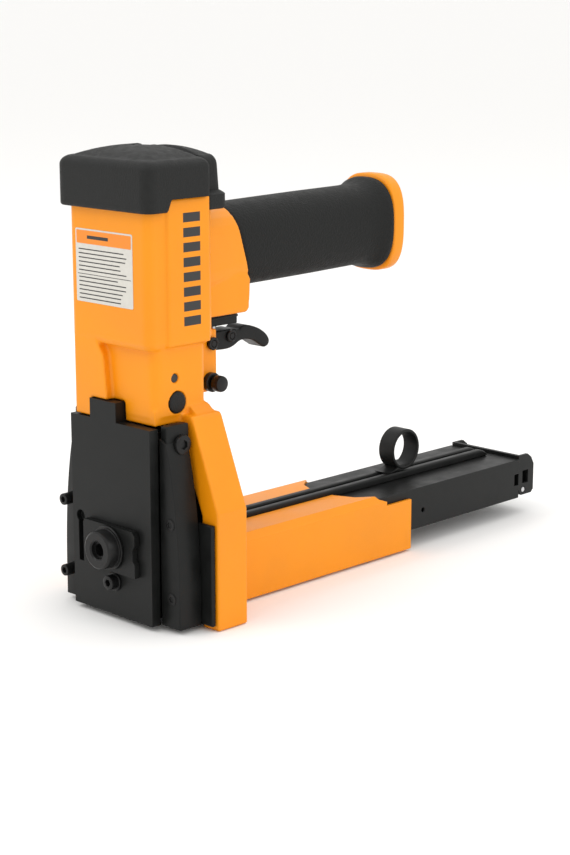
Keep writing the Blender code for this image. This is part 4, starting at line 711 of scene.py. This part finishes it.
class STAPLER_OT_nose(Operator):
    """Build the front plate, depth adjuster, side cheeks and their screws."""

    bl_idname = "stapler.nose"
    bl_label = "Nose"

    def execute(self, context):
        steel = black_steel()
        for node, width in (("front_plate", 0.5), ("nose_back_plate", 0.4), ("drive_guide_front", 0.4),
                            ("drive_guide_rear", 0.4)):
            settle(eased_copy(node + "_eased", node, width * MM), ROOT, "black_steel", steel, node)
        settle(eased_copy("adjuster_plate_eased", "depth_adjuster_plate", 0.45 * MM), "adjuster_body",
               "black_steel", steel, "depth_adjuster_plate")
        for word in ("left", "right"):
            settle(eased_copy("leg_guard_%s_eased" % word, "leg_guard_" + word, 0.4 * MM), ROOT,
                   "black_steel", steel, "leg_guard_" + word)
            self.cheek(word, steel)
            # a black sheet of painted shade in the shaded corner by each leg
            self.shade_web(word, steel)
        self.knob()
        for node, axis, knurl in (("front_screw", "-Y", 0.03), ("cap_screw", "Z", 0.0)):
            low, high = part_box(node)
            middle = (low + high) / 2
            length = (high - low)["XYZ".index(axis[-1])]
            base = {"-Y": (middle.x, high.y, middle.z), "Z": (middle.x, middle.y, low.z)}[axis]
            radius = 3.8 * MM if node == "front_screw" else (high.x - low.x) / 2
            settle(socket_screw(node + "_head", axis, base, radius, length, 0.5 * radius, knurl), ROOT,
                   "black_steel", dark_screw(), node)
        low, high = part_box("front_screw")
        middle = (low + high) / 2
        washer = revolved("front_screw_washer", [(3.0 * MM, 0), (5 * MM, 0), (5 * MM, 0.7 * MM),
                                                 (4.7 * MM, 1 * MM), (3.0 * MM, 1 * MM)], "-Y",
                          (middle.x, high.y, middle.z), closed=True)
        settle(washer, ROOT, "black_steel", dark_screw())
        return {"FINISHED"}

    def cheek(self, word, steel):
        """A side cheek: the bar's outer edge follows a smooth curve from the top corner to the foot."""
        side = -1 if word == "left" else 1
        node = "side_cheek_" + word
        low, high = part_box(node)
        inner = min(abs(low.x), abs(high.x))
        outer = max(abs(low.x), abs(high.x))
        z = np.linspace(0, 1, 40)
        top = low.z + 94 * MM
        flare = outer - (outer - 35.4 * MM) * z ** 2.8
        edge = np.column_stack([side * flare, low.z + (top - low.z) * z])
        inside = np.array([(side * inner, top + 2 * MM), (side * inner, low.z)])
        outline = np.concatenate([edge, inside])
        bar = rounded_plate("cheek_bar_" + word, outline, "Y", low.y, low.y + 14.5 * MM, 0.5 * MM, 3)
        settle(bar, ROOT, "black_steel", steel, node)
        plate_outline = corner_arcs([(low.y + 1 * MM, low.z + 0.4 * MM), (high.y, low.z + 0.4 * MM),
                                     (high.y, high.z), (low.y + 1 * MM, high.z)], 1.0 * MM, 4)
        x = sorted((side * (inner + 0.1 * MM), side * 35.2 * MM))
        plate = rounded_plate("cheek_plate_" + word, plate_outline, "X", *x, 0.5 * MM, 3)
        settle(plate, ROOT, "black_steel", steel)
        for number in (1, 2):
            screw_node = "cheek_screw_%s_%d" % (word, number)
            slow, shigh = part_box(screw_node)
            middle = (slow + shigh) / 2
            screw = socket_screw(screw_node + "_head", "-Y", (middle.x, shigh.y, middle.z), 3.1 * MM,
                                 shigh.y - slow.y, 1.6 * MM, 0.03 if side < 0 else 0)
            settle(screw, ROOT, "black_steel", dark_screw(), screw_node)
        pivot = "pivot_screw_" + word
        plow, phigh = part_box(pivot)
        middle = (plow + phigh) / 2
        base = plow.x if side > 0 else phigh.x
        screw = socket_screw(pivot + "_head", "X" if side > 0 else "-X", (base, middle.y, middle.z), 5 * MM,
                             phigh.x - plow.x, 2.3 * MM)
        settle(screw, ROOT, "black_steel", dark_screw(), pivot)

    def shade_web(self, word, steel):
        """A thin black sheet in the corner between the back plate and the leg's inner side: painted shade, a
        dark sheet set where that corner lies in shadow.
        """
        side = -1 if word == "left" else 1
        back_low, back_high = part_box("nose_back_plate")
        outline = np.array([(41.0, 2.5), (44.5, 2.5), (44.5, 56.0), (41.0, 58.0)]) * MM * [side, 1]
        # painted shade: this black sheet fills the leg's shaded corner
        shade_web = rounded_plate("corner_shade_web_" + word, outline, "Y", back_low.y + 0.2 * MM,
                            back_high.y - 0.2 * MM, 0.2 * MM, 1)
        settle(shade_web, ROOT, "black_steel", steel)

    def knob(self):
        """The adjuster's knob: a washer, a drum with a bright chamfer, and a deep hole."""
        low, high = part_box("adjuster_knob")
        middle = (low + high) / 2
        rim, drum, hole = 11.5 * MM, 10 * MM, 4.6 * MM
        height = high.y - low.y
        profile = [(3.4 * MM, 0), (rim - 0.3 * MM, 0), (rim, 0.3 * MM), (rim, 1.1 * MM),
                   (rim - 0.3 * MM, 1.4 * MM), (drum + 0.2 * MM, 1.4 * MM),
                   (drum, 1.7 * MM), (drum, height - 1.3 * MM), (drum - 0.35 * MM, height - 0.5 * MM),
                   (drum - 1.1 * MM, height),
                   (hole + 0.8 * MM, height), (hole, height - 0.7 * MM), (hole, height - 2.3 * MM),
                   (3.4 * MM, height - 2.3 * MM)]
        knob = revolved("knob_turned", profile, "-Y", (middle.x, high.y, middle.z), 96, closed=True)
        settle(knob, "knob_body", "black_steel", dark_screw(), "adjuster_knob")


# ---------------------------------------------------------------- magazine

class STAPLER_OT_magazine(Operator):
    """Build the magazine's housing, channel, rails, pull ring, latch and feed spring."""

    bl_idname = "stapler.magazine"
    bl_label = "Magazine"

    def execute(self, context):
        steel = black_steel()
        ease = shape_settings().edge_round
        settle(eased_copy("housing_folded", "magazine_housing", 1.1 * ease), ROOT, "yellow_paint",
               yellow_paint(), "magazine_housing")
        settle(eased_copy("channel_folded", "magazine_channel", ease), ROOT, "black_steel", steel,
               "magazine_channel")
        for word in ("left", "right"):
            self.rail(word, steel)
        settle(eased_copy("pusher_eased", "staple_pusher", 0.3 * MM), "pusher_body", "black_steel", steel,
               "staple_pusher")
        settle(eased_copy("latch_folded", "end_latch", ease), "latch_body", "black_steel", steel, "end_latch")
        self.ring(steel)
        self.spring()
        self.staples()
        return {"FINISHED"}

    def rail(self, word, steel):
        """A rail: a rounded bar. Its height dips over its last stretch as 1 - (share of the stretch) ** 2."""
        node = "rail_" + word
        low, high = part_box(node)
        outline = corner_arcs([(low.x, low.z), (high.x, low.z), (high.x, high.z), (low.x, high.z)],
                              (0.3 * MM, 0.3 * MM, 1.3 * MM, 1.3 * MM), 5)
        y = np.concatenate([[low.y, low.y + 0.5 * MM], np.linspace(low.y + 4 * MM, high.y - 7 * MM, 24),
                            np.linspace(high.y - 6 * MM, high.y, 12)])
        dip = np.clip((y - (high.y - 7 * MM)) / (7 * MM), 0, 1) ** 2.4
        rise = outline[:, 1] - low.z
        rings = np.stack([np.broadcast_to(outline[:, 0], (len(y), len(outline))),
                          np.repeat(y[:, None], len(outline), axis=1),
                          low.z + rise[None, :] * (1 - 0.75 * dip[:, None])], axis=-1)
        settle(tube_surface(node + "_rolled", rings), ROOT, "black_steel", steel, node)

    def ring(self, steel):
        """The pull ring: a flat band with rounded rims, swept round a circle, on a foot on the rails."""
        low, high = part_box("pull_ring")
        middle = (low + high) / 2
        radius = (high.y - low.y) / 2
        half = (high.x - low.x) / 2
        band = 2.0 * MM
        section = corner_arcs([(radius - band, -half), (radius, -half), (radius, half),
                               (radius - band, half)], 0.8 * MM, 5)
        ring = revolved("pull_ring_band", section, "X", tuple(middle), 96, closed=True)
        settle(ring, "pusher_body", "black_steel", steel, "pull_ring")
        s = np.linspace(0, 1, 16)
        rail_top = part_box("rail_right")[1].z
        y0 = low.y - 3.5 * MM
        top = rail_top + 0.5 * MM + 6.5 * MM * s ** 2.2
        base = np.full_like(s, rail_top + 0.25 * MM)
        y = y0 + (radius + 2.5 * MM) * s
        circle = middle.z - np.sqrt(np.maximum((radius - 0.2 * MM) ** 2 - (y - middle.y) ** 2, 0))
        top = np.where(np.abs(y - middle.y) < radius - 0.2 * MM, np.minimum(top, circle), top)
        top = np.maximum(top, base + 0.3 * MM)
        outline = np.concatenate([np.column_stack([y, base]), np.column_stack([y, top])[::-1]])
        foot = rounded_plate("ring_foot", outline, "X", -half + 0.3 * MM, half - 0.3 * MM, 0.25 * MM, 2)
        settle(foot, "pusher_body", "black_steel", steel)

    def spring(self):
        """The feed spring: a wire circle carried along a helix about the guide rod."""
        low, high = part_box("feed_spring")
        middle = (low + high) / 2
        wire = 0.42 * MM
        coil = (high.x - low.x) / 2 - wire
        turns = 14
        a = np.linspace(0, 2 * math.pi * turns, turns * 20)[:, None]
        b = np.linspace(0, 2 * math.pi, 8, endpoint=False)[None, :]
        r = coil + wire * np.cos(b)
        y = low.y + wire + (high.y - low.y - 2 * wire) * a / a.max() + wire * np.sin(b)
        rings = np.stack([middle.x + r * np.cos(a), y, middle.z + r * np.sin(a)], axis=-1)
        spring = tube_surface("feed_coil", rings)
        settle(spring, "root", "bright_steel", bright_steel(), "feed_spring")
        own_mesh(spring)

    def staples(self):
        """The stick of staples: an arched strip. Its wires are fine ribs of height |sin| along its length."""
        low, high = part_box("staple_stick")
        wire = 1.2 * MM
        path = corner_arcs([(low.x, low.z), (low.x, high.z), (high.x, high.z), (high.x, low.z),
                            (high.x - wire, low.z),
                            (high.x - wire, high.z - wire), (low.x + wire, high.z - wire),
                            (low.x + wire, low.z)],
                           (0, 1.2 * MM, 1.2 * MM, 0, 0, 0.6 * MM, 0.6 * MM, 0), 5)
        y = np.linspace(low.y, high.y, 560)
        rib = 0.12 * MM * np.abs(np.sin((y - low.y) / (2.4 * MM) * math.pi)) ** 0.5
        middle = np.array([0, high.z - 6 * MM])
        outward = np.sign(path - middle) * (np.abs(path - middle) > 5 * MM)
        rings = np.stack([path[None, :, 0] - outward[None, :, 0] * (0.12 * MM - rib[:, None]),
                          np.repeat(y[:, None], len(path), axis=1),
                          path[None, :, 1] - outward[None, :, 1] * (0.12 * MM - rib[:, None])], axis=-1)
        settle(tube_surface("staple_strip", rings), ROOT, "bright_steel", bright_steel(), "staple_stick")


# ---------------------------------------------------------------- pins, plugs and marks

class STAPLER_OT_small_parts(Operator):
    """Build the pull pin, the side plugs and the anvils' eased edges."""

    bl_idname = "stapler.small_parts"
    bl_label = "Small parts"

    def execute(self, context):
        low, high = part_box("magazine_lock_pin")
        middle = (low + high) / 2
        stem = 2.6 * MM
        head = 4.2 * MM
        end = high.x
        profile = [(0, end), (head - 1.2 * MM, end), (head - 0.3 * MM, end - 0.4 * MM),
                   (head, end - 1.2 * MM), (head, end - 4.4 * MM),
                   (head - 0.5 * MM, end - 5.2 * MM), (stem + 0.4 * MM, end - 5.6 * MM),
                   (stem, end - 6.2 * MM), (stem, low.x + 0.5 * MM),
                   (stem - 0.5 * MM, low.x), (0, low.x)]
        settle(revolved("pull_pin", profile, "X", (0, middle.y, middle.z)), "lock_pin_body", "black_steel",
               dark_screw(), "magazine_lock_pin")
        collar = [(stem + 0.5 * MM, 16.3 * MM), (5.0 * MM, 16.3 * MM), (5.0 * MM, 19.0 * MM),
                  (4.5 * MM, 19.5 * MM), (stem + 0.5 * MM, 19.5 * MM)]
        settle(revolved("pull_pin_collar", collar, "X", (0, middle.y, middle.z), closed=True), ROOT,
               "black_steel", dark_screw())
        for word, side in (("left", -1), ("right", 1)):
            node = "side_plug_" + word
            low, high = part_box(node)
            middle = (low + high) / 2
            radius = (high.y - low.y) / 2
            out = high.x if side > 0 else low.x
            t = np.linspace(0, 1, 8)
            dome = [(radius * math.sin(a * math.pi / 2) * 0.96,
                     0.5 * MM * math.cos(a * math.pi / 2)) for a in t]
            profile = dome + [(radius, -0.3 * MM), (radius, -2 * MM), (0, -2 * MM)]
            plug = revolved(node + "_moulded", profile, "X" if side > 0 else "-X", (out, middle.y, middle.z))
            settle(plug, ROOT, "black_plastic", cap_moulding(), node)
            # Painted shade: a dark disc set into each side hole stands in for the shadow deep inside it.
            hole = revolved("painted_hole_shade_" + word, [(0, 0), (2.1 * MM, 0), (2.1 * MM, -1.5 * MM),
                                                  (0, -1.5 * MM)], "X" if side > 0 else "-X",
                            (out - side * 0.9 * MM, FACE_Y + 19.6 * MM, 126.6 * MM))
            settle(hole, ROOT, "black_plastic", seal_rubber())
            anvil = "clinch_anvil_" + word
            settle(eased_copy(anvil + "_eased", anvil, 0.3 * MM), "anvil_%s_body" % word, "bright_steel",
                   bright_steel(), anvil)
        return {"FINISHED"}


def stripe_boxes(boxes):
    """Vertices and faces of many boxes at once, each given by its (low, high) corners."""
    boxes = np.asarray(boxes, float)
    unit = np.array([(x, y, z) for x in (0, 1) for y in (0, 1) for z in (0, 1)])
    verts = boxes[:, None, 0] + (boxes[:, None, 1] - boxes[:, None, 0]) * unit[None]
    quads = np.array([(0, 1, 3, 2), (4, 6, 7, 5), (0, 4, 5, 1), (2, 3, 7, 6), (0, 2, 6, 4), (1, 5, 7, 3)])
    faces = quads[None] + 8 * np.arange(len(boxes))[:, None, None]
    return verts.reshape(-1, 3), faces.reshape(-1, 4)


class STAPLER_OT_marks(Operator):
    """Stick a plain ruled label on the front and a row of plain dark bars on each side panel."""

    bl_idname = "stapler.marks"
    bl_label = "Label and side bars"

    def execute(self, context):
        lift = shape_settings().label_lift
        face = FACE_Y + 1.2 * MM
        left, right, low_z, high_z = -24.0 * MM, 18.8 * MM, 162.0 * MM, 198.6 * MM
        sheet = rounded_plate("label_sheet", corner_arcs([(left, low_z), (right, low_z), (right, high_z),
                                                          (left, high_z)], 1.0 * MM, 4), "Y",
                              face - lift, face + 0.3 * MM, 0.08 * MM, 2)
        settle(sheet, ROOT, "black_plastic", label_paper())
        front = face - lift
        band = rounded_plate("label_band",
                             corner_arcs([(left + 0.8 * MM, high_z - 7.4 * MM),
                                          (right - 0.8 * MM, high_z - 7.4 * MM),
                                                        (right - 0.8 * MM, high_z - 0.8 * MM),
                                          (left + 0.8 * MM, high_z - 0.8 * MM)], 0.5 * MM, 3), "Y",
                             front - 0.06 * MM, front + 0.1 * MM, 0.02 * MM, 1)
        settle(band, ROOT, "black_plastic", label_orange())
        rng = np.random.default_rng(7)
        boxes = []
        rows = 12
        for row in range(rows):
            z = high_z - 10.2 * MM - row * 2.1 * MM - (1.4 * MM if row > 5 else 0)
            length = (right - left - 5 * MM) * (0.78 + 0.2 * rng.random())
            boxes.append(((left + 2.2 * MM, front - 0.05 * MM, z - 0.28 * MM),
                          (left + 2.2 * MM + length, front + 0.05 * MM, z + 0.28 * MM)))
        rule = high_z - 22.6 * MM
        boxes.append(((left + 1.2 * MM, front - 0.05 * MM, rule - 0.16 * MM),
                      (right - 1.2 * MM, front + 0.05 * MM, rule + 0.16 * MM)))
        boxes.append(((left + 9 * MM, front - 0.11 * MM, high_z - 4.9 * MM),
                      (left + 25 * MM, front, high_z - 3.2 * MM)))
        self.bars("label_rules", boxes)
        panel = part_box("body_casting")[1].x
        for word, side in (("left", -1), ("right", 1)):
            boxes = []
            for k in range(8):
                z = 152.6 * MM + k * 7.3 * MM
                outer = side * (panel + 0.05 * MM)
                x = sorted((outer, outer - side * 0.6 * MM))
                boxes.append(((x[0], FACE_Y + 23 * MM, z), (x[1], FACE_Y + 34.2 * MM, z + 4.6 * MM)))
            self.bars("side_bars_" + word, boxes)
        return {"FINISHED"}

    def bars(self, name, boxes):
        verts, faces = stripe_boxes(boxes)
        mesh = bpy.data.meshes.new(name)
        mesh.from_pydata(verts.tolist(), [], faces.tolist())
        bm = bmesh.new()
        bm.from_mesh(mesh)
        bpy.data.meshes.remove(mesh)
        bmesh.ops.bevel(bm, geom=bm.edges[:], offset=0.04 * MM, segments=1, affect="EDGES")
        settle(new_object(name, bm), ROOT, "black_plastic", print_ink())


class STAPLER_OT_inner_parts(Operator):
    """Give every CAD node that still shows the finish of its slot."""

    bl_idname = "stapler.inner_parts"
    bl_label = "Inner parts"

    def execute(self, context):
        slots = {part["node"]: part["material_slot"] for part in frame["record"]["subparts"]}
        for name, obj in frame["nodes"].items():
            if obj.hide_render:
                continue
            obj.data.materials.clear()
            obj.data.materials.append(SLOT_FINISH[slots[name]]())
        return {"FINISHED"}


# ---------------------------------------------------------------- stage

class STAPLER_OT_stage(Operator):
    """Lay a plain pale floor, soft lights and the camera."""

    bl_idname = "stapler.stage"
    bl_label = "Stage"

    def execute(self, context):
        scene = context.scene
        scene.view_settings.view_transform = "Standard"
        mesh = bpy.data.meshes.new("floor")
        reach = 150.0
        mesh.from_pydata([(-reach, -reach, 0), (reach, -reach, 0), (reach, reach, 0), (-reach, reach, 0)],
                         [], [(0, 1, 2, 3)])
        floor = bpy.data.objects.new("floor", mesh)
        scene.collection.objects.link(floor)
        floor.location.z = -0.0003
        paper = bpy.data.materials.new("floor_paper")
        paper.use_nodes = True
        shader_of(paper).inputs["Base Color"].default_value = (0.93, 0.925, 0.915, 1)
        shader_of(paper).inputs["Roughness"].default_value = 0.9
        shader_of(paper).inputs["Specular IOR Level"].default_value = 0.1
        mesh.materials.append(paper)
        world = bpy.data.worlds.new("soft_room")
        world.use_nodes = True
        world.node_tree.nodes["Background"].inputs["Color"].default_value = (1.0, 0.995, 0.985, 1)
        world.node_tree.nodes["Background"].inputs["Strength"].default_value = 1.04
        scene.world = world
        target = Vector((0, 0, 0.11))
        lights = (("key_panel", (-0.5, -1.0, 1.5), 1.0, 7.0), ("side_panel_light", (1.5, 0.1, 0.9), 1.0, 4.0),
                  ("top_panel", (0.2, 0.6, 1.7), 1.6, 5.0))
        for name, place, size, power in lights:
            light = bpy.data.lights.new(name, "AREA")
            light.size = size
            light.energy = power
            obj = bpy.data.objects.new(name, light)
            obj.location = place
            obj.rotation_euler = (target - Vector(place)).to_track_quat("-Z", "Y").to_euler()
            scene.collection.objects.link(obj)
        camera = bpy.data.cameras.new("camera")
        camera.lens = 78.74
        holder = bpy.data.objects.new("camera", camera)
        holder.location = (0.702, FACE_Y - 0.588, 0.311)
        holder.rotation_euler = (math.radians(90 - 13.01), 0, math.radians(44.54))
        scene.collection.objects.link(holder)
        scene.camera = holder
        return {"FINISHED"}


class STAPLER_PT_panel(Panel):
    """Lists the builders of the stapler's pieces."""

    bl_label = "Stapler"
    bl_idname = "STAPLER_PT_panel"
    bl_space_type = "VIEW_3D"
    bl_region_type = "UI"
    bl_category = "Stapler"

    def draw(self, context):
        for owner in (context.scene.stapler_finish, context.scene.stapler_shape):
            for name in owner.__annotations__:
                self.layout.prop(owner, name)
        for operator in BUILDERS:
            self.layout.operator(operator.bl_idname)


BUILDERS = (STAPLER_OT_stage, STAPLER_OT_casting, STAPLER_OT_cap, STAPLER_OT_handle, STAPLER_OT_trigger,
            STAPLER_OT_nose,
            STAPLER_OT_magazine, STAPLER_OT_small_parts, STAPLER_OT_marks, STAPLER_OT_inner_parts)
CLASSES = (StaplerFinishSettings, StaplerShapeSettings, *BUILDERS, STAPLER_PT_panel)


def register():
    for cls in CLASSES:
        bpy.utils.register_class(cls)
    bpy.types.Scene.stapler_finish = PointerProperty(type=StaplerFinishSettings)
    bpy.types.Scene.stapler_shape = PointerProperty(type=StaplerShapeSettings)


def unregister():
    del bpy.types.Scene.stapler_shape
    del bpy.types.Scene.stapler_finish
    for cls in reversed(CLASSES):
        bpy.utils.unregister_class(cls)


def main():
    register()
    for operator in BUILDERS:
        group, name = operator.bl_idname.split(".")
        getattr(getattr(bpy.ops, group), name)()


if __name__ == "__main__":
    main()
